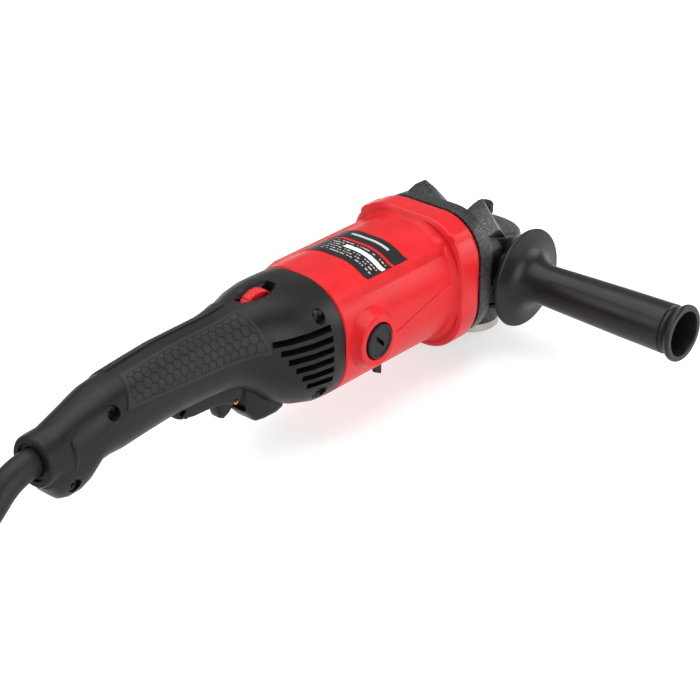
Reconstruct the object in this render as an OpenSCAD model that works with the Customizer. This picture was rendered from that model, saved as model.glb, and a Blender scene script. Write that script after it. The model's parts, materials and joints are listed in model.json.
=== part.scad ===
// Rear-handled angle grinder with an auxiliary side handle, a mains lead and a plug.
// Millimetres. +X runs forward along the motor to the gear head, +Y to the left, +Z up.
// The origin is the lower end of the spindle, on its axis; z = 0 is the bench.

/* [Gear head] */
// Height of the motor axis above the spindle's lower end
axis_z = 56; // [52:1:64]
// Radius of the gear case around the spindle
nose_r = 29; // [28.5:0.5:33]
// Distance from the spindle axis back to the motor housing
head_len = 42; // [40:1:50]
// Wall of the cast gear case
case_wall = 3.2; // [2.5:0.1:4]
// Outer radius of the collar that a guard clamps on
collar_r = 17.5; // [16.5:0.5:20]
// Height of that collar
collar_h = 8; // [6:0.5:9]

/* [Spindle and gears] */
// Radius of the spindle's thread, M14
spindle_r = 7; // [6:0.5:7]
// Free length of the spindle's thread
thread_len = 12; // [10:1:13]
// Bore radius of the spindle bearing
journal_r = 7.5; // [7.2:0.1:8.5]
// Teeth on the bevel wheel, a multiple of four so the lock holes repeat
wheel_teeth = 36; // [32:4:36]
// Teeth on the bevel pinion
pinion_teeth = 10; // [9:1:11]
// Module of both gears at their large end
gear_module = 1.2; // [1.1:0.05:1.25]
// Width of the tooth faces
face_w = 6.5; // [5:0.5:7]
// Travel of the spindle lock button
lock_travel = 5; // [4:0.5:6]

/* [Motor] */
// Half the width of the motor housing
barrel_h = 36; // [34:0.5:40]
// Half the width of the housing's front flange
flange_h = 40.5; // [39:0.5:46]
// Length of that flange
flange_len = 18; // [14:1:22]
// Length of the motor housing
motor_len = 112; // [108:1:130]
// Wall of the motor housing
motor_wall = 3; // [2.5:0.1:3.5]
// Length of the stator and armature stacks
stack_len = 46; // [40:1:50]
// Radius of the armature stack
armature_r = 19; // [17:0.5:21]
// Air gap between armature and stator
air_gap = 0.6; // [0.4:0.1:1]
// Distance from the housing's rear face forward to the brush axis
brush_from_rear = 20; // [19:0.5:22]
// Radius of a brush cap
brush_cap_r = 10; // [9:0.5:11]

/* [Rear handle] */
// Length of the rear handle
handle_len = 192; // [185:1:220]
// Half the width of the grip
grip_a = 17; // [16:0.5:19]
// Half the height of the grip
grip_b = 19.5; // [18.5:0.5:22]
// Wall of the handle halves
handle_wall = 2.6; // [2.2:0.1:3]
// Length of the trigger paddle
trigger_len = 50; // [46:1:54]
// Width of the trigger paddle
trigger_w = 15; // [13:0.5:16]
// Radius of the speed dial
dial_r = 12.5; // [11.5:0.5:13.5]
// Width of the speed dial
dial_w = 6; // [5:0.5:7]

/* [Side handle] */
// Length from the guard disc's face to the end of the side handle
side_len = 109; // [95:1:125]
// Radius of the guard disc
disc_r = 29.8; // [26:0.2:34]
// Radius of the grip next to the disc
side_grip_r = 12; // [11:0.5:14]
// Radius of the grip at its outer end
side_end_r = 14.5; // [13:0.5:16]
// Radius of the end ring
side_ring_r = 16.7; // [16:0.1:19]
// Radius of the stud's thread, M10
stud_r = 5; // [4:0.5:5]

/* [Mains lead] */
// Diameter of the lead
cord_d = 8; // [7:0.5:9]
// Radius of the lead's rubber sleeve where it leaves the handle
sleeve_r = 7.7; // [7:0.1:8.2]
// Angle that the sleeve has turned down at its tip
sleeve_bend = 45; // [30:1:50]

/* [Clearances] */
// Radial clearance of shafts and pins in their bearings
run_fit = 0.05; // [0.02:0.01:0.1]
// Gap between pieces that slide or pass each other
slide_gap = 0.4; // [0.3:0.05:0.6]
// Gap between pieces that are screwed together
seat_gap = 0.02; // [0:0.01:0.1]

/* [Hidden] */
$fn = 48;
lap = 0.01;                  // how far a cut runs past a face
sides = 32;                  // points round a shell's section
black = "#232325";
soft_black = "#303034";
red = "#d8222a";
steel = "#b9bbbd";
casting = "#3a3c3e";
copper = "#b06a35";

// Stations along the motor axis
motor_front = -head_len;
motor_rear = motor_front - motor_len;
handle_rear = motor_rear - handle_len;
brush_x = motor_rear + brush_from_rear;
barrel_n = 2.4;              // squareness of the barrel's section
flange_n = 3.3;              // squareness of the flange's section
flange_rear = motor_front - flange_len;

// Gear head
head_top = axis_z + 15;      // top of the gear case over the spindle
head_base = 27;              // underside of the gear case
cap_low = 16;                // underside of the bearing cap's cone
collar_bottom = cap_low - 4 - collar_h;
neck_h = flange_h - 0.5;
neck_len = 11;
pinion_tunnel_r = 12;
boss_y = 38;                 // outer face of the side-handle bosses
boss_z = axis_z - 11;        // height of the side-handle holes
boss_r = 11;
boss_hole_depth = 12;

// Ball bearings: bore radius, outer radius, width
spindle_brg = [journal_r, 16, 9];
front_brg = [6, 14, 8];
rear_brg = [4, 11, 7];
spindle_brg_z = cap_low + 0.5;
front_brg_x = motor_front + 3;
rear_brg_x = motor_rear + 3;

// Bevel gears, both cut to the apex where the two axes cross
cone_r = gear_module / 2 * sqrt(wheel_teeth * wheel_teeth + pinion_teeth * pinion_teeth);
wheel_cone = atan(wheel_teeth / pinion_teeth);
pinion_cone = 90 - wheel_cone;
pressure = 25;
backlash = 0.23;             // taken off each tooth's half thickness
wheel_add = 0.62 * gear_module;
pinion_add = 0.8 * gear_module;
root_gap = 0.35 * gear_module;
wheel_base_z = axis_z - 13;
web_top = axis_z - 6.6;
wheel_tip_r = cone_r * sin(wheel_cone + wheel_add / cone_r * 180 / PI);
case_bore_r = min(wheel_tip_r + 0.9, nose_r - case_wall - 2);
spindle_top = axis_z + 9;
top_journal_r = 5;
wheel_seat_r = spindle_r - 0.4;
bush_r = top_journal_r + 1.8;
lock_x = 11.5;
lock_pin_r = 2.3;

// Motor pieces
shaft_r = front_brg[0];
stack_front = motor_front - 30;
stack_rear = stack_front - stack_len;
stator_r = barrel_h - motor_wall - 1;
coil_over = 9;               // how far windings stand out of a stack
commutator_r = 12;
commutator_len = 15;
fan_front = motor_front - 8;
fan_w = 9;
fan_r = barrel_h - motor_wall - 3.5;
brush_boss_r = 14.5;
brush_boss_y = barrel_h + 5.5;
brush_w = 8;
brush_t = 6;

// Rear handle sections: [distance behind the motor housing, centre height over the motor axis,
// half width, half height, squareness]
handle_sections = [
  [0, 0, barrel_h, barrel_h, 2.4],
  [12, 0.5, barrel_h - 0.5, barrel_h, 2.4],
  [24, 2.5, barrel_h - 2.5, barrel_h - 1.5, 2.4],
  [36, 5.5, barrel_h - 6.5, barrel_h - 5, 2.35],
  [46, 9, grip_a + 7.5, grip_b + 6.5, 2.3],
  [56, 11.5, grip_a + 3.5, grip_b + 2.5, 2.3],
  [68, 12.5, grip_a + 1, grip_b + 0.5, 2.3],
  [104, 13, grip_a, grip_b, 2.3],
  [handle_len - 48, 9.2, grip_a, grip_b - 0.2, 2.3],
  [handle_len - 36, 7.6, grip_a - 0.8, grip_b - 1.7, 2.3],
  [handle_len - 28, 2.5, grip_a - 1.5, grip_b + 1, 2.4],
  [handle_len - 21, -0.5, grip_a - 2, grip_b + 2, 2.5],
  [handle_len - 11, -2.6, grip_a - 2.5, grip_b + 0.4, 2.5],
  [handle_len - 5, 0, grip_a - 3.5, grip_b - 4, 2.4]];
nose_in = handle_len - 16;   // where the lead's nose starts, behind the motor housing
nose_tube_r = 14;
lead_z = axis_z + 2.5;       // height of the lead where it leaves the handle
handle_screw_at = [[-15, 24], [-15, -22], [40.5 - handle_len, 18], [14 - handle_len, -12.5]];
handle_screw_y = [30, 29, 14.5, 12.5];

// Trigger and lock-off lever
slot_front = motor_rear - 49;
trigger_front = slot_front - 1.2;
trigger_rear = trigger_front - trigger_len;
pivot_x = trigger_rear + 4;
pivot_z = axis_z - 9;
pivot_r = 2;
trigger_low = axis_z - 15;
lever_x = trigger_front - 7;
lever_z = axis_z - 17.6;
lever_pin_r = 1.7;
lever_w = 7;

// Speed dial, in the top of the handle
dial_x = motor_rear - 33;
dial_z = axis_z + barrel_h + 1.2 - dial_r;

// Grip pads
pad_front = motor_rear - 50;
pad_rear = handle_rear + 49;
pad_low = axis_z + 15;
pad_t = 1.2;

// Mains lead. The route goes behind and below the sleeve's tip; the coil lies flat on the bench.
cord_r = cord_d / 2;
sleeve_turn_r = 36;          // radius of the sleeve's bend
sleeve_straight = 25;        // length of its straight, tapering tip
sleeve_start = handle_rear + 4;
sleeve_tip_r = 5.6;
sleeve_end = [handle_rear - sleeve_turn_r * sin(sleeve_bend) - sleeve_straight * cos(sleeve_bend), 0,
  lead_z - sleeve_turn_r * (1 - cos(sleeve_bend)) - sleeve_straight * sin(sleeve_bend)];
tie_t = 1.2;                 // thickness of the tie, which holds the coil off the bench
coil_at = [-456, 62];
coil_in_r = 31;
coil_out_r = 66;
coil_layers = 2;
lead_route = [[-393, 0, 26.4], [-397, 0, 22.5], [-403, 0, 17.2], [-410, 0, 12.7], [-417, 0, 9.5],
  [-425, 0, 6.9], [-433, 0, 5.6], [-440, 0, 5.2], [-449, 0, 5.2]];
tail_route = [[-449, 126, 13.2], [-442, 126, 13.2], [-435, 126, 13.3], [-428, 126, 13.4],
  [-421, 126, 13.5]];
plug_x = -421;
plug_y = 126;
plug_h = 27;
plug_w = 37;
plug_body_len = 36;
plug_neck_len = 20;
plug_pin_r = 2.4;
plug_pin_len = 19;
plug_pin_pitch = 19;

// ---------- shape helpers ----------

function signed_pow(v, e) = sign(v) * pow(abs(v), e);

// A rounded, squarish outline
function squircle(a, b, n, count = sides) =
  [for (i = [0:count - 1]) [a * signed_pow(cos(360 * i / count), 2 / n),
                            b * signed_pow(sin(360 * i / count), 2 / n)]];

// One ring of the handle's shell, made smaller by the inset
function handle_ring(s, inset) =
  [for (p = squircle(s[2] - inset, s[3] - inset, s[4])) [motor_rear - s[0], -p[0], axis_z + s[1] + p[1]]];

// Faces of a skin over rings of equal length, with flat ends
function skin_faces(rings, count) = concat(
  [[for (i = [0:count - 1]) i]],
  [for (k = [0:rings - 2], i = [0:count - 1])
    let (a = k * count + i, b = k * count + (i + 1) % count) [a, a + count, b]],
  [for (k = [0:rings - 2], i = [0:count - 1])
    let (a = k * count + i, b = k * count + (i + 1) % count) [b, a + count, b + count]],
  [[for (i = [count - 1:-1:0]) (rings - 1) * count + i]]);

// A skin over rings given as lists of points
module skin(rings) {
  polyhedron([for (r = rings) each r], skin_faces(len(rings), len(rings[0])));
}

function unit(v) = v / norm(v);

// One ring of a tube, square to its run
function tube_ring(p, run, r, count) =
  let (t = unit(run), side = unit(cross([0, 0, 1], t)), up = cross(t, side))
  [for (i = [0:count - 1]) p + r * (cos(360 * i / count) * side + sin(360 * i / count) * up)];

// A tube along a route; radii has one value for each point
module tube(route, radii, count = 8) {
  last = len(route) - 1;
  skin([for (i = [0:last])
    tube_ring(route[i], route[min(i + 1, last)] - route[max(i - 1, 0)], radii[i], count)]);
}

// A cylinder along X from x0 to x1 on the motor axis
module along_x(x0, x1, r, z = axis_z, y = 0, r2 = undef) {
  translate([min(x0, x1), y, z])
    rotate([0, 90, 0])
      cylinder(h = abs(x1 - x0), r1 = r, r2 = is_undef(r2) ? r : r2);
}

// A cylinder along Y from y0 to y1
module along_y(y0, y1, r, x, z) {
  translate([x, max(y0, y1), z])
    rotate([90, 0, 0])
      cylinder(h = abs(y1 - y0), r = r);
}

// A squarish prism along the motor axis
module squircle_x(x0, x1, a, n, z = axis_z) {
  translate([min(x0, x1), 0, z])
    rotate([90, 0, 90])
      linear_extrude(abs(x1 - x0))
        polygon(squircle(a, a, n, 48));
}

module box(x, y, z) {
  translate([x[0], y[0], z[0]])
    cube([x[1] - x[0], y[1] - y[0], z[1] - z[0]]);
}

// A ball bearing as one ring, lying on z = 0
module bearing_ring(b) {
  rotate_extrude()
    polygon([[b[0], 0.5], [b[0] + 0.5, 0], [b[1] - 0.5, 0], [b[1], 0.5],
             [b[1], b[2] - 0.5], [b[1] - 0.5, b[2]], [b[0] + 0.5, b[2]], [b[0], b[2] - 0.5]]);
}

// ---------- gear head ----------

case_screw_at = [for (y = [-1, 1], z = [-1, 1]) [y * (flange_h - 13), z * (flange_h - 8.5)]];
cap_screw_at = [for (x = [-1, 1], y = [-1, 1]) [x * 0.707 * (nose_r - 3.2), y * 0.707 * (nose_r - 3.2)]];

module corner_rib(y, z) {
  s = sign(z);
  hull() {
    along_x(motor_front, motor_front + neck_len - 2, 4.5, axis_z + z, y, 4.5, $fn = 24);
    translate([motor_front + neck_len + 10, y * 0.62, axis_z + z - s * 16])
      sphere(r = 3, $fn = 16);
  }
}

module gear_case() {
  color(casting)
  difference() {
    union() {
      // the nose round the spindle, coned in towards the bearing cap
      rotate_extrude()
        polygon([[0, head_base], [nose_r, head_base], [nose_r, head_top - 6],
                 [nose_r - 5, head_top], [0, head_top]]);
      // the neck that the motor housing bolts to
      difference() {
        squircle_x(motor_front, motor_front + neck_len, neck_h, flange_n);
        box([motor_front - 1, 0], [-60, 60], [0, cap_low]);
      }
      hull() {
        squircle_x(motor_front + neck_len - 1, motor_front + neck_len, neck_h - 3, flange_n);
        translate([-4, 0, head_base + 4])
          cylinder(h = head_top - head_base - 10, r = nose_r - 1);
      }
      for (p = case_screw_at)
        if (p[1] > 0)
          corner_rib(p[0], p[1]);
      // side-handle bosses, left and right
      along_y(-boss_y, boss_y, boss_r, 0, boss_z);
      along_y(-nose_r, nose_r, boss_r + 4, 0, boss_z);
      // well of the lock button
      translate([lock_x, 0, head_top - 1])
        cylinder(h = 3.5, r = 9);
    }
    // room for the bearing cap's cone
    cylinder(h = head_base, r = nose_r + 0.3);
    // gear chamber and pinion tunnel
    translate([0, 0, head_base - lap])
      cylinder(h = web_top + 2.6 - head_base, r = case_bore_r);
    translate([0, 0, web_top + 2.5])
      cylinder(h = axis_z - web_top - 3.5, r = case_bore_r - 4);
    along_x(motor_front + front_brg[2] + 2, -11, pinion_tunnel_r);
    along_x(motor_front - lap, motor_front + 3 + front_brg[2], front_brg[1] + seat_gap);
    // seat of the top bush
    translate([0, 0, axis_z - 2])
      cylinder(h = spindle_top + 2.6 - axis_z, r = bush_r + seat_gap);
    // threaded holes for the side handle
    for (s = [-1, 1])
      along_y(s * (boss_y + lap), s * (boss_y - boss_hole_depth), stud_r, 0, boss_z);
    // lock button's hole
    translate([lock_x, 0, axis_z - 3])
      cylinder(h = 40, r = lock_pin_r + run_fit);
    translate([lock_x, 0, head_top - 6])
      cylinder(h = 10, r = 5.5 + slide_gap);
    // screws into the motor housing and up from the bearing cap
    for (p = case_screw_at)
      along_x(motor_front - lap, motor_front + neck_len - 3, 2, axis_z + p[1], p[0]);
    for (p = cap_screw_at)
      translate([p[0], p[1], head_base - lap])
        cylinder(h = 9, r = 1.6);
  }
}

module bearing_cap() {
  color("#8d908f")
  difference() {
    rotate_extrude()
      polygon([[journal_r + 5, cap_low - 3], [collar_r - 3.5, cap_low - 3],
               [collar_r - 3.5, collar_bottom + 0.6], [collar_r - 2.9, collar_bottom],
               [collar_r - 0.6, collar_bottom], [collar_r, collar_bottom + 0.6], [collar_r, cap_low],
               [nose_r - 5, cap_low], [nose_r, head_base - 2], [nose_r, head_base - seat_gap],
               [case_bore_r - 0.1, head_base - seat_gap], [case_bore_r - 0.1, head_base + 3],
               [spindle_brg[1] + 2.5, head_base + 3], [spindle_brg[1] + 2.5, head_base],
               [spindle_brg[1] + seat_gap, head_base], [spindle_brg[1] + seat_gap, spindle_brg_z],
               [journal_r + 5, spindle_brg_z]]);
    for (p = cap_screw_at)
      translate([p[0], p[1], 0]) {
        cylinder(h = 60, r = 1.9);
        cylinder(h = cap_low + 5, r = 3.3);
      }
  }
}

module bearing_cap_screws() {
  color(steel)
  for (p = cap_screw_at)
    translate([p[0], p[1], 0]) {
      translate([0, 0, cap_low + 2.4])
        cylinder(h = 2.58, r = 3);
      translate([0, 0, cap_low + 4])
        cylinder(h = head_base - cap_low + 4, r = 1.58);
    }
}

module gear_case_screws() {
  color(steel)
  for (p = case_screw_at)
    along_x(motor_front - flange_len + 6, motor_front + neck_len - 3.2, 1.98, axis_z + p[1], p[0]);
}

module spindle() {
  color(steel)
  difference() {
    rotate_extrude()
      polygon([[0, 0], [spindle_r, 0], [spindle_r, thread_len],
               [journal_r + 2.5, thread_len], [journal_r + 2.5, spindle_brg_z - 0.2],
               [journal_r - run_fit, spindle_brg_z - 0.2], [journal_r - run_fit, wheel_base_z - 12],
               [wheel_seat_r, wheel_base_z - 12], [wheel_seat_r, web_top + 0.6],
               [top_journal_r - run_fit, web_top + 0.6], [top_journal_r - run_fit, spindle_top - 1],
               [top_journal_r - 1, spindle_top], [0, spindle_top]]);
    // hexagon socket in the spindle's end
    translate([0, 0, -lap])
      cylinder(h = 5, r = 3, $fn = 6);
  }
}

function to_deg(v) = v * 180 / PI;
function involute(a) = tan(a) - a * PI / 180;

// Half the angle of a bevel tooth at a height over its pitch cone
function tooth_half(teeth, cone, high) =
  let (rv = cone_r * tan(cone), base = rv * cos(pressure), r = rv + high,
       turn = r > base ? acos(base / r) : 0,
       half = (PI * gear_module / 4 - backlash) / rv + involute(pressure) - involute(turn))
  to_deg(max(half, 0.01) * r / (cone_r * sin(cone + to_deg(high / cone_r))));

// One tooth's outline as [azimuth, cone angle] pairs
function tooth_outline(teeth, cone, add, ded, middle) =
  let (levels = [-ded, -0.35 * ded, 0.3 * add, add])
  concat([for (h = levels) [middle - tooth_half(teeth, cone, h), cone + to_deg(h / cone_r)]],
         [for (i = [3:-1:0]) [middle + tooth_half(teeth, cone, levels[i]), cone + to_deg(levels[i] / cone_r)]]);

function gear_outline(teeth, cone, add, ded, first) =
  [for (i = [0:teeth - 1]) each tooth_outline(teeth, cone, add, ded, first + 360 * i / teeth)];

// A ring of points on a sphere about the apex, its axis along +Z
function on_sphere(outline, r) =
  [for (p = outline) [r * sin(p[1]) * cos(p[0]), r * sin(p[1]) * sin(p[0]), r * cos(p[1])]];

// Faces from one ring to the next, each with the same number of points
function band(first, next, count) = [for (i = [0:count - 1])
  let (j = (i + 1) % count)
  each [[first + i, next + i, first + j], [first + j, next + i, next + j]]];

// Faces from a ring of toothed points to a ring with one point a tooth, and back out again
function narrow(first, next, count, group) = [for (j = [0:count - 1])
  let (k = (j + 1) % count)
  each concat([for (i = [0:group - 1])
                 [first + j * group + i, next + j, first + (j * group + i + 1) % (count * group)]],
              [[first + k * group, next + j, next + k]])];
function widen(first, next, count, group) = [for (j = [0:count - 1])
  let (k = (j + 1) % count)
  each concat([for (i = [0:group - 1])
                 [first + j, next + j * group + i, next + (j * group + i + 1) % (count * group)]],
              [[first + j, next + k * group, first + k]])];

// A plain ring of points, one a tooth, with its depth under the apex
function plain_ring(r, z) = [for (i = [0:wheel_teeth - 1])
  let (a = 180 / wheel_teeth + 360 * i / wheel_teeth)
  [r * cos(a), r * sin(a), z]];

module drive_gear() {
  outline = gear_outline(wheel_teeth, wheel_cone, wheel_add, pinion_add + root_gap,
                         180 / wheel_teeth);
  count = len(outline);
  group = count / wheel_teeth;
  depth = axis_z - wheel_base_z;
  rim = cone_r * sin(wheel_cone) - 0.4;
  dish = (cone_r - face_w) * sin(wheel_cone) - 0.8;
  // dish floor, underside and hub foot, each [radius, depth]
  plain = [[rim, depth], [journal_r + 4, depth], [journal_r + 4, depth + 6], [3, depth + 6],
           [3, axis_z - web_top], [dish, axis_z - web_top]];
  at = [for (k = [0:6]) 2 * count + k * wheel_teeth];
  color("#8a8c90")
  difference() {
    translate([0, 0, axis_z])
      mirror([0, 0, 1])
        polyhedron(
          concat(on_sphere(outline, cone_r - face_w), on_sphere(outline, cone_r),
                 [for (p = plain) each plain_ring(p[0], p[1])]),
          concat(band(0, count, count), narrow(count, at[0], wheel_teeth, group),
                 [for (k = [0:4]) each band(at[k], at[k + 1], wheel_teeth)],
                 widen(at[5], 0, wheel_teeth, group)));
    cylinder(h = 100, r = wheel_seat_r + seat_gap);
    for (a = [0:90:270])
      rotate(a)
        translate([lock_x, 0, wheel_base_z + 1.5])
          cylinder(h = 30, r = lock_pin_r + 0.35);
  }
}

module drive_pinion() {
  outline = gear_outline(pinion_teeth, pinion_cone, pinion_add, wheel_add + root_gap, -90);
  small = on_sphere(outline, cone_r - face_w);
  large = on_sphere(outline, cone_r);
  count = len(outline);
  color("#8a8c90")
  difference() {
    union() {
      // the sphere's +Z turns to -X, and its +X and +Y to the machine's +Y and +Z
      translate([0, 0, axis_z])
        multmatrix([[0, 0, -1, 0], [1, 0, 0, 0], [0, 1, 0, 0], [0, 0, 0, 1]])
          polyhedron(concat(small, large, [[0, 0, (cone_r - face_w) * cos(pinion_cone)],
                                           [0, 0, cone_r * cos(pinion_cone)]]),
            concat([for (i = [0:count - 1]) let (j = (i + 1) % count)
                      each [[i, i + count, j], [j, i + count, j + count],
                            [2 * count, i, j], [2 * count + 1, j + count, i + count]]]));
      along_x(-cone_r * cos(pinion_cone) + 0.5, -wheel_tip_r - 1, shaft_r - 1.6);
      along_x(-wheel_tip_r - 0.7, motor_front + 3.2 + front_brg[2], shaft_r - 0.4);
    }
    along_x(-60, 0, 3.5 + seat_gap);
  }
}

module pinion_nut() {
  front = -(cone_r - face_w) * cos(pinion_cone) + 0.5;
  color(steel)
  difference() {
    along_x(front, front + 3.2, 4.6, $fn = 6);
    along_x(-60, 0, 3.5 + seat_gap);
  }
}

module spindle_bearing() {
  color(steel)
  translate([0, 0, spindle_brg_z])
    bearing_ring(spindle_brg);
}

module spindle_bush() {
  color("#b08d57")
  translate([0, 0, axis_z - 0.9])
    difference() {
      cylinder(h = spindle_top - axis_z + 1.4, r = bush_r);
      translate([0, 0, -lap])
        cylinder(h = 30, r = top_journal_r);
    }
}

module spindle_seal() {
  color("#44403a")
  translate([0, 0, spindle_brg_z + spindle_brg[2] + 0.1])
    difference() {
      cylinder(h = 1.3, r = spindle_brg[1]);
      translate([0, 0, -lap])
        cylinder(h = 3, r = journal_r + 0.7);
    }
}

lock_tip_z = web_top + 1;

module lock_button() {
  color(black)
  translate([lock_x, 0, 0]) {
    translate([0, 0, lock_tip_z])
      cylinder(h = head_top - lock_tip_z + 2, r = lock_pin_r);
    translate([0, 0, head_top + 0.5])
      cylinder(h = 6.5, r = 5.5);
  }
}

module lock_spring() {
  color(steel)
  translate([lock_x, 0, head_top - 5.9])
    difference() {
      cylinder(h = 6.2, r = 4.4);
      translate([0, 0, -lap])
        cylinder(h = 8, r = lock_pin_r + 0.7);
    }
}

// ---------- side handle ----------

disc_y = boss_y + 4;         // outer face of the guard disc
disc_t = 3;

module side_handle() {
  end = disc_y + side_len;
  color(soft_black)
  translate([0, 0, boss_z])
    rotate([90, 0, 0])
      difference() {
        rotate_extrude()
          polygon([[stud_r + seat_gap, boss_y + 0.3], [10, boss_y + 0.3], [12, disc_y - disc_t],
                   [disc_r - 1, disc_y - disc_t], [disc_r, disc_y - disc_t + 1],
                   [disc_r, disc_y - 0.6], [disc_r - 0.6, disc_y], [side_grip_r + 7, disc_y + 1.5],
                   [side_grip_r + 3, disc_y + 4.5], [side_grip_r + 0.8, disc_y + 9],
                   [side_grip_r, disc_y + 15], [side_end_r - 0.6, end - 30],
                   [side_end_r, end - 10], [side_end_r - 1, end - 6.5], [side_end_r - 0.6, end - 5.5],
                   [side_ring_r, end - 2.5], [side_ring_r, end - 0.8], [side_ring_r - 0.8, end],
                   [side_ring_r - 2.6, end], [side_end_r - 2.6, end - 3], [side_end_r - 3.6, end - 26],
                   [stud_r + 3, end - 28], [stud_r + 3, end - 30], [0, end - 30],
                   [0, disc_y + 22], [stud_r + seat_gap, disc_y + 22]]);
      }
}

module side_handle_stud() {
  color(steel)
  along_y(-(boss_y - boss_hole_depth + 0.5), -(disc_y + 21.5), stud_r - seat_gap, 0, boss_z);
}

// ---------- motor ----------

module motor_housing() {
  color(red)
  difference() {
    union() {
      difference() {
        union() {
          squircle_x(motor_rear, motor_front - 1, barrel_h, barrel_n);
          squircle_x(flange_rear, motor_front, flange_h, flange_n);
          squircle_x(flange_rear - 4, flange_rear + 1, (barrel_h + flange_h) / 2,
                     (barrel_n + flange_n) / 2);
          along_y(-brush_boss_y, brush_boss_y, brush_boss_r, brush_x, axis_z);
        }
        squircle_x(motor_rear + 2, stack_rear - 1, barrel_h - motor_wall, barrel_n);
        along_x(stack_rear - 2, motor_front + lap, stator_r + seat_gap);
      }
      // seats of the rear bearing and the brush holders
      along_x(motor_rear, motor_rear + 9, rear_brg[1] + 4);
      for (s = [-1, 1])
        along_y(s * 22, s * (barrel_h - motor_wall + 2), brush_cap_r + 1, brush_x, axis_z);
    }
    // rear bearing's seat, and air holes round it
    along_x(motor_rear - lap, motor_rear + 20, rear_brg[1] + 1.5 + seat_gap);
    for (a = [30:60:330])
      along_x(motor_rear - lap, motor_rear + 3, 6, axis_z + 23 * sin(a), 23 * cos(a));
    // brush holders and caps
    along_y(-60, 60, brush_cap_r - 2 + seat_gap, brush_x, axis_z);
    for (s = [-1, 1]) {
      along_y(s * (brush_boss_y - 5), s * 60, brush_cap_r + seat_gap, brush_x, axis_z);
    }
    for (p = case_screw_at)
      along_x(motor_front - flange_len + 5, motor_front + lap, 2, axis_z + p[1], p[0]);
  }
}

module stator_core() {
  color("#6f7275")
  difference() {
    along_x(stack_rear, stack_front, stator_r);
    along_x(stack_rear - 1, stack_front + 1, armature_r + air_gap);
    // slots that the field coils sit in, above and below
    for (s = [-1, 1])
      box([stack_rear - 1, stack_front + 1], [-15, 15],
          s > 0 ? [axis_z + 12, axis_z + 26] : [axis_z - 26, axis_z - 12]);
  }
}

module field_windings() {
  color(copper)
  for (s = [-1, 1])
    difference() {
      box([stack_rear - coil_over, stack_front + coil_over], [-14, 14],
          s > 0 ? [axis_z + 13, axis_z + 25.5] : [axis_z - 25.5, axis_z - 13]);
      along_x(stack_rear - coil_over - 1, stack_front + coil_over + 1, armature_r + air_gap);
    }
}

module armature_core() {
  color("#7b7e82")
  difference() {
    along_x(stack_rear, stack_front, armature_r);
    along_x(stack_rear - 1, stack_front + 1, shaft_r + seat_gap);
  }
}

module armature_shaft() {
  nut_front = -(cone_r - face_w) * cos(pinion_cone) + 3.8;
  shoulder = motor_front + 3 + front_brg[2] - 0.1;
  color(steel)
  union() {
    along_x(shoulder - 1, nut_front, 3.5);
    along_x(rear_brg_x + rear_brg[2] + 4, shoulder - lap, shaft_r - run_fit);
    along_x(rear_brg_x - 1, rear_brg_x + rear_brg[2] + 5, rear_brg[0] - run_fit);
  }
}

module armature_windings() {
  color(copper)
  for (x = [[stack_front + 0.1, stack_front + 7], [stack_rear - 7, stack_rear - 0.1]])
    difference() {
      along_x(x[0], x[1], armature_r - 3);
      along_x(x[0] - 1, x[1] + 1, shaft_r + seat_gap);
    }
}

module commutator() {
  color("#b5763d")
  difference() {
    along_x(brush_x - commutator_len / 2, brush_x + commutator_len / 2, commutator_r);
    along_x(brush_x - 20, brush_x + 20, shaft_r + seat_gap);
  }
}

module cooling_fan() {
  color("#3d5c46")
  difference() {
    union() {
      along_x(fan_front - 2, fan_front, fan_r);
      along_x(fan_front - fan_w, fan_front, 9);
      for (a = [0:30:330])
        translate([0, 0, axis_z])
          rotate([a, 0, 0])
            translate([fan_front - fan_w, 7, -0.8])
              cube([fan_w - 1, fan_r - 8, 1.6]);
    }
    along_x(fan_front - 30, fan_front + 30, shaft_r + seat_gap);
  }
}

module front_bearing() {
  color(steel)
  translate([front_brg_x, 0, axis_z])
    rotate([0, 90, 0])
      bearing_ring(front_brg);
}

module rear_bearing() {
  color(steel)
  translate([rear_brg_x, 0, axis_z])
    rotate([0, 90, 0])
      bearing_ring(rear_brg);
}

module bearing_seat() {
  color("#1c1c1c")
  difference() {
    along_x(motor_rear + 0.5, rear_brg_x + rear_brg[2] + 0.5, rear_brg[1] + 1.5);
    along_x(motor_rear + 1.9, rear_brg_x + rear_brg[2] + 1, rear_brg[1] + seat_gap);
    along_x(motor_rear - 1, rear_brg_x + 1, 7);
  }
}

module fan_baffle() {
  color("#2d2d2f")
  difference() {
    along_x(fan_front - fan_w - 3.5, fan_front - fan_w - 1.5, stator_r - 0.3);
    along_x(fan_front - fan_w - 10, fan_front, armature_r + 2);
    // lets the field coils' ends through
    box([fan_front - fan_w - 10, fan_front], [-15, 15], [axis_z - 27, axis_z + 27]);
  }
}

module brush_holders() {
  color("#c9a65a")
  for (s = [-1, 1])
    difference() {
      along_y(s * (commutator_r + 1.5), s * (brush_boss_y - 7), brush_cap_r - 2, brush_x, axis_z);
      box([brush_x - brush_t / 2 - 0.1, brush_x + brush_t / 2 + 0.1],
          s > 0 ? [5, 60] : [-60, -5], [axis_z - brush_w / 2 - 0.1, axis_z + brush_w / 2 + 0.1]);
    }
}

module carbon_brushes() {
  color("#3b3b3e")
  for (s = [-1, 1])
    box([brush_x - brush_t / 2, brush_x + brush_t / 2],
        s > 0 ? [commutator_r + 0.05, commutator_r + 14] : [-commutator_r - 14, -commutator_r - 0.05],
        [axis_z - brush_w / 2, axis_z + brush_w / 2]);
}

module brush_springs() {
  color(steel)
  for (s = [-1, 1])
    difference() {
      along_y(s * (commutator_r + 14.2), s * (brush_boss_y - 5.2), 2.8, brush_x, axis_z);
      along_y(s * commutator_r, s * 60, 1.8, brush_x, axis_z);
    }
}

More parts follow.
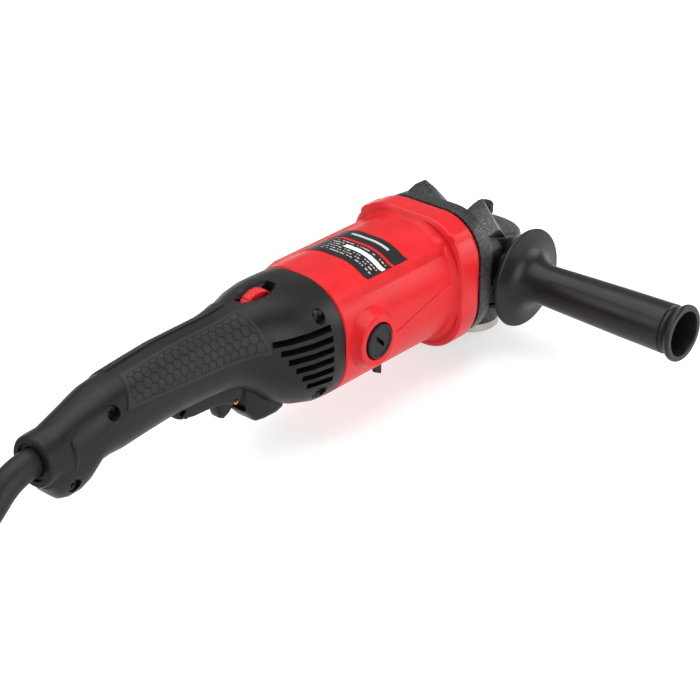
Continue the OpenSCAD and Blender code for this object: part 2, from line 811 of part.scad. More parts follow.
module brush_caps() {
  color(black)
  for (s = [-1, 1])
    difference() {
      along_y(s * (brush_boss_y - 5), s * (brush_boss_y + 1.2), brush_cap_r, brush_x, axis_z);
      translate([brush_x, 0, axis_z])
        rotate([0, 43, 0])
          box([-4.2, 4.2], s > 0 ? [brush_boss_y, 60] : [-60, -brush_boss_y], [-0.9, 0.9]);
    }
}

label_front = flange_rear - 32;
label_len = 34;

module rating_label() {
  color("#1b1b1d")
  difference() {
    squircle_x(label_front - label_len, label_front, barrel_h + 0.25, barrel_n);
    squircle_x(label_front - label_len - 1, label_front + 1, barrel_h + 0.02, barrel_n);
    box([-300, 0], [-60, 60], [0, axis_z + 24]);
    // the bare stripe between the label's two bands
    box([label_front - 13.5, label_front - 11], [-60, 60], [axis_z, 200]);
  }
}

module hose_clip() {
  color(black)
  difference() {
    box([brush_x + 27, brush_x + 33], [-16, -13.5], [axis_z - barrel_h - 6, axis_z - barrel_h + 6]);
    squircle_x(brush_x, brush_x + 40, barrel_h, barrel_n);
  }
}

// ---------- rear handle ----------

// The handle's whole outer shape, or a smaller copy of it
module handle_solid(inset) {
  skin([for (s = handle_sections) handle_ring(s, inset)]);
}

module handle_nose(r) {
  along_x(handle_rear, motor_rear - nose_in + 12, r, lead_z);
}

// The lug in front of the trigger that keeps fingers off the vents
module finger_lug() {
  translate([0, 9, 0])
    rotate([90, 0, 0])
      linear_extrude(18)
        polygon([[slot_front, axis_z - 16], [slot_front, axis_z - 24], [slot_front + 8, axis_z - 36.5],
                 [slot_front + 18, axis_z - 37], [slot_front + 28, axis_z - 32],
                 [slot_front + 24, axis_z - 20]]);
}

module screw_bosses(r) {
  for (i = [0:len(handle_screw_at) - 1])
    along_y(-handle_screw_y[i], handle_screw_y[i], r, motor_rear + handle_screw_at[i][0],
            axis_z + handle_screw_at[i][1]);
}

module vents(side) {
  for (i = [0:5]) {
    z = axis_z + 17 - 6 * i;
    depth = 36 - 3.8 * i;
    y = side > 0 ? [20, 60] : [-60, -20];
    box([motor_rear - 10 - depth, motor_rear - 10], y, [z - 1.5, z + 1.5]);
  }
}

// side is -1 for the right half and 1 for the left half
module handle_half(side) {
  difference() {
    intersection() {
      union() {
        difference() {
          union() {
            handle_solid(0);
            handle_nose(nose_tube_r);
          }
          handle_solid(handle_wall);
        }
        finger_lug();
        intersection() {
          screw_bosses(5.5);
          handle_solid(handle_wall - 0.1);
        }
        // ribs that hold the trigger's pin
        intersection() {
          box([pivot_x - 4, pivot_x + 4], [-60, 60], [pivot_z - 3.5, pivot_z + 5]);
          handle_solid(handle_wall - 0.1);
        }
        // the wall that holds the lead's sleeve
        intersection() {
          box([handle_rear + 4, handle_rear + 14], [-60, 60], [lead_z - 11, lead_z + 11]);
          handle_solid(handle_wall - 0.1);
        }
      }
      box([handle_rear - 10, motor_rear - seat_gap], side > 0 ? [0, 60] : [-60, 0], [0, 200]);
    }
    // slot for the trigger
    box([trigger_rear - 0.8, slot_front], [-trigger_w / 2 - slide_gap, trigger_w / 2 + slide_gap],
        [0, axis_z + 1]);
    // the trigger's pin
    along_y(-9.5, 9.5, pivot_r + seat_gap, pivot_x, pivot_z);
    // hole for the lead
    along_x(handle_rear - 1, handle_rear + 3, sleeve_r + 0.8, lead_z);
    along_x(handle_rear + 2, handle_rear + 30, sleeve_r + seat_gap, lead_z);
    // slot and axle for the speed dial
    box([dial_x - dial_r - 0.8, dial_x + dial_r + 0.8], [-dial_w / 2 - slide_gap, dial_w / 2 + slide_gap],
        [dial_z - dial_r - 1, 200]);
    vents(side);
    // screw holes, with head recesses on the right side
    for (i = [0:len(handle_screw_at) - 1]) {
      x = motor_rear + handle_screw_at[i][0];
      z = axis_z + handle_screw_at[i][1];
      along_y(-60, handle_screw_y[i] - 4, 1.6, x, z);
      along_y(-60, -handle_screw_y[i] + 4, 3.9, x, z);
    }
  }
}

module handle_right() {
  color(black)
    handle_half(-1);
}

module handle_left() {
  color(black)
    handle_half(1);
}

// A soft pad over the upper half of the grip, standing a little proud
module grip_pad(side) {
  difference() {
    handle_solid(-pad_t);
    handle_solid(-0.02);
    box([-600, pad_rear], [-60, 60], [0, 200]);
    box([pad_front, 0], [-60, 60], [0, 200]);
    box([-600, 0], [-60, 60], [0, pad_low]);
    box([-600, 0], side > 0 ? [-60, 0.2] : [-0.2, 60], [0, 200]);
    along_y(-60, 60, 6.5, motor_rear + handle_screw_at[2][0], axis_z + handle_screw_at[2][1]);
  }
}

module grip_pad_right() {
  color(soft_black)
    grip_pad(-1);
}

module grip_pad_left() {
  color(soft_black)
    grip_pad(1);
}

module handle_screws() {
  color(steel)
  for (i = [0:len(handle_screw_at) - 1]) {
    x = motor_rear + handle_screw_at[i][0];
    z = axis_z + handle_screw_at[i][1];
    along_y(-handle_screw_y[i] + 4 + lap, handle_screw_y[i] - 4.2, 1.58, x, z);
    difference() {
      along_y(-handle_screw_y[i] + 1.6, -handle_screw_y[i] + 4 - seat_gap, 3.4, x, z);
      for (a = [0, 90])
        translate([x, -handle_screw_y[i] + 1.6, z])
          rotate([0, a + 20, 0])
            cube([3.6, 2, 0.8], center = true);
    }
  }
}

module speed_dial() {
  color(red)
  difference() {
    along_y(-dial_w / 2, dial_w / 2, dial_r, dial_x, dial_z);
    along_y(-60, 60, 2 + run_fit, dial_x, dial_z);
    // finger notches round the rim
    for (a = [0:20:340])
      translate([dial_x, 0, dial_z])
        rotate([0, a, 0])
          translate([0, 0, dial_r + 0.3])
            rotate([90, 0, 0])
              cylinder(h = 60, r = 0.9, center = true, $fn = 16);
  }
}

module speed_controller() {
  color("#2c4a3a")
  union() {
    along_y(-dial_w / 2 - 4, dial_w / 2 + 4, 2, dial_x, dial_z);
    for (s = [-1, 1])
      box([dial_x - 9, dial_x + 9], s > 0 ? [dial_w / 2 + 1, dial_w / 2 + 6] : [-dial_w / 2 - 6, -dial_w / 2 - 1],
          [dial_z - 8, dial_z + 3]);
    box([dial_x - 9, dial_x + 16], [-dial_w / 2 - 6, dial_w / 2 + 6], [dial_z - dial_r - 8, dial_z - dial_r - 2]);
    for (s = [-1, 1])
      box([dial_x - 9, dial_x + 9], s > 0 ? [dial_w / 2 + 1, dial_w / 2 + 6] : [-dial_w / 2 - 6, -dial_w / 2 - 1],
          [dial_z - dial_r - 3, dial_z - 7]);
  }
}

module switch_body() {
  color("#26282c")
  union() {
    box([trigger_rear + 12, trigger_front - 6], [-9, 9], [axis_z + 10, axis_z + 27]);
    // plunger
    box([trigger_rear + 26, trigger_rear + 31], [-3, 3], [axis_z + 0.4, axis_z + 10.5]);
  }
}

module trigger() {
  w = trigger_w;
  color(black)
  difference() {
    translate([0, w / 2, 0])
      rotate([90, 0, 0])
        linear_extrude(w)
          polygon([[trigger_rear, pivot_z], [trigger_rear + 1, pivot_z - 2.8], [pivot_x + 6, trigger_low + 2.6],
                   [lever_x - 14, trigger_low + 0.2], [lever_x - 3.5, trigger_low - 4.5],
                   [lever_x + 2.5, trigger_low - 5.2], [trigger_front - 0.6, trigger_low - 1],
                   [trigger_front, axis_z - 10], [trigger_front - 1.5, axis_z - 4.5],
                   [pivot_x + 8, axis_z - 3.5], [pivot_x, pivot_z + 3.2], [trigger_rear + 1, pivot_z + 3]]);
    along_y(-20, 20, pivot_r + run_fit, pivot_x, pivot_z);
    along_y(-20, 20, lever_pin_r + seat_gap, lever_x, lever_z);
    // slot for the lock-off lever
    box([lever_x - 17, lever_x + 12], [-lever_w / 2 - slide_gap, lever_w / 2 + slide_gap],
        [0, axis_z - 8]);
  }
}

module trigger_pin() {
  color(steel)
    along_y(-9.4, 9.4, pivot_r, pivot_x, pivot_z);
}

module lock_off_lever() {
  color(black)
  difference() {
    union() {
      hull() {
        along_y(-lever_w / 2, lever_w / 2, 4, lever_x, lever_z, $fn = 32);
        along_y(-lever_w / 2, lever_w / 2, 5, lever_x - 6, lever_z - 4.6, $fn = 32);
      }
      hull() {
        along_y(-lever_w / 2, lever_w / 2, 3, lever_x, lever_z + 1, $fn = 32);
        along_y(-lever_w / 2, lever_w / 2, 1.5, lever_x - 8, lever_z + 3.5, $fn = 32);
      }
    }
    along_y(-20, 20, lever_pin_r + run_fit, lever_x, lever_z);
  }
}

module lever_pin() {
  color("#b5803a")
  difference() {
    along_y(-trigger_w / 2, trigger_w / 2, lever_pin_r, lever_x, lever_z);
    along_y(-20, 20, 0.8, lever_x, lever_z);
  }
}

module trigger_spring() {
  color(steel)
  translate([trigger_rear + 18, 0, axis_z - 3])
    difference() {
      cylinder(h = 12.8, r = 3);
      translate([0, 0, -1])
        cylinder(h = 20, r = 2.2);
    }
}

module cord_clamp() {
  color("#3a3a3c")
  difference() {
    box([handle_rear + 32, handle_rear + 40], [-10.2, 10.2], [lead_z - 4.8, lead_z + 5.5]);
    along_x(handle_rear + 30, handle_rear + 42, cord_r + seat_gap, lead_z);
    for (s = [-1, 1])
      translate([handle_rear + 36, s * 7, 0])
        cylinder(h = 100, r = 1.5);
  }
}

module clamp_screws() {
  color(steel)
  for (s = [-1, 1])
    translate([handle_rear + 36, s * 7, lead_z - 4.8]) {
      cylinder(h = 10.4, r = 1.48);
      translate([0, 0, 10.32])
        cylinder(h = 1.8, r = 2.6);
    }
}

module capacitor() {
  color("#c8b23c")
    box([motor_rear - 130, motor_rear - 112], [-8, 8], [axis_z + 2, axis_z + 16]);
}

// ---------- mains lead ----------

// The sleeve leaves level, bends down on one radius and thins along its straight tip
module cord_sleeve() {
  steps = 8;
  bend = [for (i = [0:steps]) let (a = sleeve_bend * i / steps)
    [handle_rear - sleeve_turn_r * sin(a), 0, lead_z - sleeve_turn_r * (1 - cos(a))]];
  color(black)
  tube(concat([[sleeve_start + 20, 0, lead_z]], bend, [sleeve_end]),
       concat([for (i = [0:steps + 1]) sleeve_r], [sleeve_tip_r]), 24);
}

module cord() {
  color(black) {
    route = concat([sleeve_end], lead_route);
    tube(route, [for (p = route) cord_r], 8);
    tube(tail_route, [for (p = tail_route) cord_r], 8);
    // the lead's stretch inside the handle, from the clamp to the sleeve
    along_x(sleeve_start + 20, handle_rear + 44, cord_r, lead_z);
  }
}

module cord_coil() {
  color(black)
  translate([coil_at[0], coil_at[1], tie_t])
    rotate_extrude()
      polygon([[coil_in_r, 2], [coil_in_r + 2, 0], [coil_out_r - 2, 0], [coil_out_r, 2],
               [coil_out_r, coil_layers * cord_d - 2], [coil_out_r - 2, coil_layers * cord_d],
               [coil_in_r + 2, coil_layers * cord_d], [coil_in_r, coil_layers * cord_d - 2]]);
}

module cord_tie() {
  high = coil_layers * cord_d;
  color("#55575a")
  difference() {
    box([coil_at[0] - coil_out_r - tie_t, coil_at[0] - coil_in_r + tie_t],
        [coil_at[1] - 7, coil_at[1] + 7], [0, high + 2 * tie_t]);
    box([coil_at[0] - coil_out_r - 0.05, coil_at[0] - coil_in_r + 1.1],
        [coil_at[1] - 8, coil_at[1] + 8], [tie_t, high + tie_t]);
  }
}

module plug_body() {
  z = plug_h / 2;
  color(black)
  union() {
    hull() {
      for (s = [-1, 1])
        along_x(plug_x + plug_neck_len, plug_x + plug_neck_len + plug_body_len, plug_h / 2, z,
                plug_y + s * (plug_w - plug_h) / 2, $fn = 32);
    }
    along_x(plug_x, plug_x + plug_neck_len + 1, 5.5, z, plug_y, 9);
  }
}

module plug_pins() {
  front = plug_x + plug_neck_len + plug_body_len;
  color(steel)
  for (s = [-1, 1]) {
    along_x(front, front + plug_pin_len - plug_pin_r, plug_pin_r, plug_h / 2,
            plug_y + s * plug_pin_pitch / 2);
    translate([front + plug_pin_len - plug_pin_r, plug_y + s * plug_pin_pitch / 2, plug_h / 2])
      sphere(r = plug_pin_r);
  }
}

gear_case();
bearing_cap();
bearing_cap_screws();
gear_case_screws();
spindle();
drive_gear();
spindle_bearing();
spindle_bush();
spindle_seal();
lock_button();
lock_spring();
side_handle();
side_handle_stud();
motor_housing();
stator_core();
field_windings();
armature_core();
armature_shaft();
armature_windings();
commutator();
cooling_fan();
drive_pinion();
pinion_nut();
front_bearing();
rear_bearing();
bearing_seat();
fan_baffle();
brush_holders();
carbon_brushes();
brush_springs();
brush_caps();
rating_label();
hose_clip();
handle_right();
handle_left();
grip_pad_right();
grip_pad_left();
handle_screws();
speed_dial();
speed_controller();
switch_body();
trigger();
trigger_pin();
lock_off_lever();
lever_pin();
trigger_spring();
cord_clamp();
clamp_screws();
cord_sleeve();
capacitor();
cord();
cord_coil();
cord_tie();
plug_body();
plug_pins();
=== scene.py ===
import json
import math

import bmesh
import bpy
from bpy.props import FloatProperty, FloatVectorProperty, IntProperty, PointerProperty
from bpy.types import Operator, Panel, PropertyGroup
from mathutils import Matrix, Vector


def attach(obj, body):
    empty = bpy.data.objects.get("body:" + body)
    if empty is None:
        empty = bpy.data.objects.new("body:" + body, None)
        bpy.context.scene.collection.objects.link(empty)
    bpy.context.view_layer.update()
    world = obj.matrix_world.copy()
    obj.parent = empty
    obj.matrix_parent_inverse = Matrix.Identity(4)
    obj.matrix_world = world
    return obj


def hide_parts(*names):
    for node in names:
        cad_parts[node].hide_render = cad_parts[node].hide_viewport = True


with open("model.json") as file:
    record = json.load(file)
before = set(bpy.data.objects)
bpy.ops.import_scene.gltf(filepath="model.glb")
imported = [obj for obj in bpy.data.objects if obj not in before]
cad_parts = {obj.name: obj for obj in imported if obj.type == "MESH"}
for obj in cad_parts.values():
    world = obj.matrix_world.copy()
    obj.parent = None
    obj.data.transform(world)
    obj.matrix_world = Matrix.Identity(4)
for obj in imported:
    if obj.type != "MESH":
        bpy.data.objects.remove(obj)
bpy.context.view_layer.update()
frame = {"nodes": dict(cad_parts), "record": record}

bl_info = {
    "name": "Angle Grinder Builder",
    "version": (1, 0, 0),
    "blender": (4, 5, 0),
    "location": "3D View > Sidebar > Grinder",
    "description": "Builds a long-handled angle grinder on its measured frame",
    "category": "Add Mesh",
}

MM = 0.001
MOTOR_Z = 56.0          # height of the motor axis
GUARD_Z = 45.0          # height of the side handle's axis
BRUSH_X = -134          # centre of the brush bosses along the motor
LOCK_X = 11.5           # lock button's axis, in front of the spindle
LEAD_Z = 58.5           # height at which the lead leaves the handle
DIAL = (-187, 80.7)     # speed dial's axle: x, z
TRIGGER_PIN = (-250.2, 47)
LEVER_PIN = (-211.2, 38.4)
PLUG = (126, 13.5)      # plug's axis: y, z
ROUND = 0.86            # corner rounding of the barrel and the grip

# Rear handle: x, centre height, half width, half height
HANDLE = [
    (-154.4, 56.0, 35.4, 35.4), (-156, 56.0, 36.0, 36.0), (-166, 56.5, 35.6, 36.0),
    (-178, 58.5, 33.6, 34.6), (-190, 61.5, 29.6, 31.1), (-200, 65.0, 24.6, 26.1),
    (-205, 66.4, 22.4, 23.9), (-210, 67.5, 20.6, 22.1), (-216, 68.2, 19.0, 20.8),
    (-222, 68.5, 18.1, 20.1), (-240, 68.9, 17.4, 19.7), (-258, 69.0, 17.1, 19.5),
    (-278, 67.3, 17.0, 19.4), (-298, 65.2, 17.0, 19.3), (-306, 64.6, 16.6, 18.6),
    (-312, 63.0, 16.1, 18.2), (-316, 60.2, 15.8, 19.8), (-320, 57.6, 15.5, 21.2),
    (-325, 55.5, 15.1, 21.6), (-332, 53.9, 14.6, 20.6), (-337, 53.7, 14.2, 19.0),
    (-341, 54.9, 13.6, 16.4), (-344, 56.6, 12.8, 13.4),
]
SCREWS = [(-169.0, 80.0, 30.0), (-169.0, 34.0, 29.0), (-305.5, 74.0, 14.5), (-332.0, 43.5, 12.5)]
LEAD_ROUTE = [(-389.1, 0, 30.3), (-393, 0, 26.4), (-397, 0, 22.5), (-403, 0, 17.2), (-410, 0, 12.7),
              (-417, 0, 9.5), (-425, 0, 6.9), (-433, 0, 5.6), (-440, 0, 5.2), (-449, 0, 5.2)]
TAIL_ROUTE = [(-449, 126, 13.2), (-442, 126, 13.2), (-435, 126, 13.3), (-428, 126, 13.4),
              (-421, 126, 13.5)]
COIL_CENTRE = (-456, 62)


# ---------------------------------------------------------------- shaping helpers

def select_only(obj):
    if bpy.context.mode != "OBJECT":
        bpy.ops.object.mode_set(mode="OBJECT")
    bpy.ops.object.select_all(action="DESELECT")
    obj.select_set(True)
    bpy.context.view_layer.objects.active = obj


def begin():
    if bpy.context.mode != "OBJECT":
        bpy.ops.object.mode_set(mode="OBJECT")
    bpy.ops.object.select_all(action="DESELECT")


def settle(name):
    """Names the new primitive and puts its place into its mesh."""
    obj = bpy.context.object
    obj.name = name
    obj.data.name = name
    select_only(obj)
    bpy.ops.object.transform_apply(location=True, rotation=True, scale=True)
    return obj


def edit(obj):
    select_only(obj)
    bpy.ops.object.mode_set(mode="EDIT")
    bpy.ops.mesh.select_mode(type="FACE")


def leave():
    bpy.ops.object.mode_set(mode="OBJECT")


def pick(obj, test, kind="FACE"):
    """Selects the faces or points whose middle, in millimetres, and normal pass the test."""
    bpy.ops.mesh.select_mode(type=kind)
    bpy.ops.mesh.select_all(action="DESELECT")
    bm = bmesh.from_edit_mesh(obj.data)
    if kind == "FACE":
        for f in bm.faces:
            if test(f.calc_center_median() / MM, f.normal):
                f.select_set(True)
    else:
        for v in bm.verts:
            if test(v.co / MM, v.normal):
                v.select_set(True)
    bmesh.update_edit_mesh(obj.data)


TURN = {"X": (0, math.pi / 2, 0), "Y": (math.pi / 2, 0, 0), "Z": (0, 0, 0)}


def axis_point(axis, along, a, b):
    """A point in millimetres from its distance along an axis and its two other coordinates."""
    return {"X": (along, a, b), "Y": (a, along, b), "Z": (a, b, along)}[axis]


def axis_scale(axis, a, b):
    return {"X": (1, a, b), "Y": (a, 1, b), "Z": (a, b, 1)}[axis]


def grow(name, axis, sections, corner=None, points=48):
    """Draws an outline, then extrudes and scales it from section to section.
    A section is (distance along the axis, two centre coordinates, two half sizes).
    corner is the share of a squared outline that its corners take; None gives a round outline."""
    begin()
    along, ca, cb, ha, hb = sections[0]
    centre = Vector(axis_point(axis, along, ca, cb)) * MM
    if corner is None:
        bpy.ops.mesh.primitive_circle_add(vertices=points, radius=1, fill_type="NGON",
                                          location=centre, rotation=TURN[axis])
    else:
        bpy.ops.mesh.primitive_plane_add(size=2, location=centre, rotation=TURN[axis])
    obj = settle(name)
    edit(obj)
    bpy.ops.mesh.select_all(action="SELECT")
    if corner is not None:
        bpy.ops.mesh.bevel(offset=corner, segments=max(1, points // 4 - 1), affect="VERTICES")
        bpy.ops.mesh.select_all(action="SELECT")
    bpy.ops.transform.resize(value=axis_scale(axis, ha * MM, hb * MM), center_override=centre)
    for last, this in zip(sections, sections[1:]):
        old = Vector(axis_point(axis, last[0], last[1], last[2])) * MM
        new = Vector(axis_point(axis, this[0], this[1], this[2])) * MM
        bpy.ops.mesh.extrude_region_move(TRANSFORM_OT_translate={"value": new - old})
        bpy.ops.transform.resize(value=axis_scale(axis, this[3] / last[3], this[4] / last[4]),
                                 center_override=new)
    bpy.ops.mesh.select_all(action="SELECT")
    bpy.ops.mesh.normals_make_consistent(inside=False)
    leave()
    return obj


def turned(name, axis, ca, cb, profile, points=64):
    """A round piece turned about an axis: profile is (distance along the axis, radius)."""
    return grow(name, axis, [(d, ca, cb, r, r) for d, r in profile], None, points)


def block(name, low, high):
    begin()
    low, high = Vector(low) * MM, Vector(high) * MM
    bpy.ops.mesh.primitive_cube_add(size=1, location=(low + high) / 2)
    bpy.context.object.scale = high - low
    return settle(name)


def soften(obj, width, segments=2, angle=30):
    select_only(obj)
    mod = obj.modifiers.new("Soft edges", "BEVEL")
    mod.width = width * MM
    mod.segments = segments
    mod.limit_method = "ANGLE"
    mod.angle_limit = math.radians(angle)
    mod.harden_normals = False
    bpy.ops.object.modifier_apply(modifier=mod.name)
    return obj


def combine(obj, tools, how="DIFFERENCE"):
    for tool in tools:
        select_only(obj)
        mod = obj.modifiers.new("Shape", "BOOLEAN")
        mod.operation = how
        mod.solver = "EXACT"
        mod.object = tool
        bpy.ops.object.modifier_apply(modifier=mod.name)
        mesh = tool.data
        bpy.data.objects.remove(tool)
        bpy.data.meshes.remove(mesh)
    return obj


def join(name, pieces):
    select_only(pieces[0])
    for piece in pieces[1:]:
        piece.select_set(True)
    bpy.ops.object.join()
    obj = bpy.context.object
    obj.name = name
    obj.data.name = name
    return obj


def copy_of(obj, name):
    new = obj.copy()
    new.data = obj.data.copy()
    new.name = name
    bpy.context.scene.collection.objects.link(new)
    return new


def mirrored(obj, name):
    """A copy on the other side of the motor's upright middle plane."""
    new = copy_of(obj, name)
    select_only(new)
    new.scale = (1, -1, 1)
    bpy.ops.object.transform_apply(location=False, rotation=False, scale=True)
    edit(new)
    bpy.ops.mesh.select_all(action="SELECT")
    bpy.ops.mesh.normals_make_consistent(inside=False)
    leave()
    return new


def slice_off(obj, point, normal):
    """Cuts away what lies on the normal's side of a plane and closes the cut."""
    edit(obj)
    bpy.ops.mesh.select_all(action="SELECT")
    bpy.ops.mesh.bisect(plane_co=Vector(point) * MM, plane_no=normal, use_fill=True, clear_outer=True)
    leave()
    return obj


def done(obj, material, body="body", nodes=(), angle=32):
    obj.name = obj.name.replace(" ", "_")
    select_only(obj)
    bpy.ops.object.shade_smooth_by_angle(angle=math.radians(angle))
    obj.data.materials.clear()
    obj.data.materials.append(material)
    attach(obj, body)
    if nodes:
        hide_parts(*nodes)
    return obj


# ---------------------------------------------------------------- finishes

def linear(colour):
    """A hex colour as the linear values that shaders use."""
    parts = [int(colour[i:i + 2], 16) / 255 for i in (1, 3, 5)]
    return [p / 12.92 if p <= 0.04045 else ((p + 0.055) / 1.055) ** 2.4 for p in parts] + [1.0]


def add(tree, kind, settings=None, **sockets):
    node = tree.nodes.new(kind)
    for name, value in (settings or {}).items():
        setattr(node, name, value)
    for name, value in sockets.items():
        key = int(name[1:]) if name[0] == "i" and name[1:].isdigit() else name.replace("_", " ")
        if isinstance(value, bpy.types.NodeSocket):
            tree.links.new(value, node.inputs[key])
        else:
            node.inputs[key].default_value = value
    return node


def sum_of(tree, how, a, b=0.0):
    return add(tree, "ShaderNodeMath", {"operation": how}, i0=a, i1=b).outputs[0]


def between(tree, value, low, high):
    """1 where the value lies between two places in millimetres, otherwise 0."""
    return sum_of(tree, "MULTIPLY", sum_of(tree, "LESS_THAN", value, high * MM),
                  sum_of(tree, "GREATER_THAN", value, low * MM))


def new_tree(name):
    material = bpy.data.materials.new(name)
    material.use_nodes = True
    material.node_tree.nodes.clear()
    return material, material.node_tree


def grain(tree, size, detail=2.0, rough=0.5):
    """Noise whose features are about this many millimetres across."""
    where = add(tree, "ShaderNodeTexCoord").outputs["Object"]
    return add(tree, "ShaderNodeTexNoise", Vector=where, Scale=1 / (size * MM), Detail=detail,
               Roughness=rough).outputs["Fac"]


def finish_surface(tree, material, normal=None, **values):
    shader = add(tree, "ShaderNodeBsdfPrincipled", **values)
    if normal is not None:
        tree.links.new(normal, shader.inputs["Normal"])
    add(tree, "ShaderNodeOutputMaterial", Surface=shader.outputs[0])
    return material


def ramp(tree, fac, low, high):
    return add(tree, "ShaderNodeMapRange", Value=fac, From_Min=0.3, From_Max=0.7, To_Min=low,
               To_Max=high).outputs["Result"]


def blend_colours(tree, fac, a, b):
    mix = add(tree, "ShaderNodeMix", {"data_type": "RGBA"})
    for index, value in ((0, fac), (6, a), (7, b)):
        if isinstance(value, bpy.types.NodeSocket):
            tree.links.new(value, mix.inputs[index])
        else:
            mix.inputs[index].default_value = value
    return mix.outputs[2]


def moulded(name, colour, roughness, spark=0.25, depth=0.02, ior=1.5, coat=0.0, shine=0.16):
    """Moulded plastic or rubber with a fine spark-eroded surface."""
    material, tree = new_tree(name)
    fine = grain(tree, spark, 3.0)
    broad = grain(tree, 14.0, 2.0)
    bump = add(tree, "ShaderNodeBump", Strength=0.35, Distance=depth * MM, Height=fine)
    tone = linear(colour)
    lighter = [min(1, v * 1.15 + 0.0006) for v in tone[:3]] + [1]
    return finish_surface(
        tree, material, bump.outputs[0],
        Base_Color=blend_colours(tree, ramp(tree, broad, 0.0, 1.0), tone, lighter),
        Roughness=ramp(tree, broad, roughness - 0.03, roughness + 0.05), IOR=ior,
        Specular_IOR_Level=shine, Coat_Weight=coat, Coat_Roughness=0.18)


def metal(name, colour, roughness, wear=0.3):
    """Bare metal with fine wear."""
    material, tree = new_tree(name)
    fine = grain(tree, wear, 4.0, 0.6)
    bump = add(tree, "ShaderNodeBump", Strength=0.2, Distance=0.015 * MM, Height=fine)
    return finish_surface(tree, material, bump.outputs[0], Base_Color=linear(colour), Metallic=1.0,
                          Roughness=ramp(tree, fine, roughness - 0.06, roughness + 0.08), IOR=2.5)


def cast_paint(name):
    """Grey-black hammered paint over a rough die casting."""
    material, tree = new_tree(name)
    coarse = grain(tree, 1.3, 4.0, 0.65)
    flake = grain(tree, 0.8, 3.0, 0.75)
    bump = add(tree, "ShaderNodeBump", Strength=0.8, Distance=0.28 * MM, Height=coarse)
    fleck = add(tree, "ShaderNodeMapRange", Value=flake, From_Min=0.56, From_Max=0.7, To_Min=0.0,
                To_Max=1.0).outputs["Result"]
    colour = blend_colours(tree, fleck, linear("#1D1E1F"), linear("#808284"))
    return finish_surface(tree, material, bump.outputs[0], Base_Color=colour, Metallic=0.55,
                          Roughness=ramp(tree, coarse, 0.3, 0.5), IOR=1.6)


def turned_cap(name):
    """The bearing cap: painted casting, with bare turned metal on the collar's lower part."""
    material = cast_paint(name)
    tree = material.node_tree
    shader = next(n for n in tree.nodes if n.type == "BSDF_PRINCIPLED")
    where = add(tree, "ShaderNodeTexCoord").outputs["Object"]
    split = add(tree, "ShaderNodeSeparateXYZ", Vector=where).outputs
    bare = add(tree, "ShaderNodeMapRange", Value=split[2], From_Min=8.9 * MM, From_Max=9.1 * MM,
               To_Min=1.0, To_Max=0.0).outputs["Result"]
    paint = shader.inputs["Base Color"].links[0].from_socket
    tree.links.new(blend_colours(tree, bare, paint, linear("#B4AFA6")), shader.inputs["Base Color"])
    tree.links.new(add(tree, "ShaderNodeMapRange", Value=bare, To_Min=0.55, To_Max=1.0).outputs["Result"],
                   shader.inputs["Metallic"])
    return material


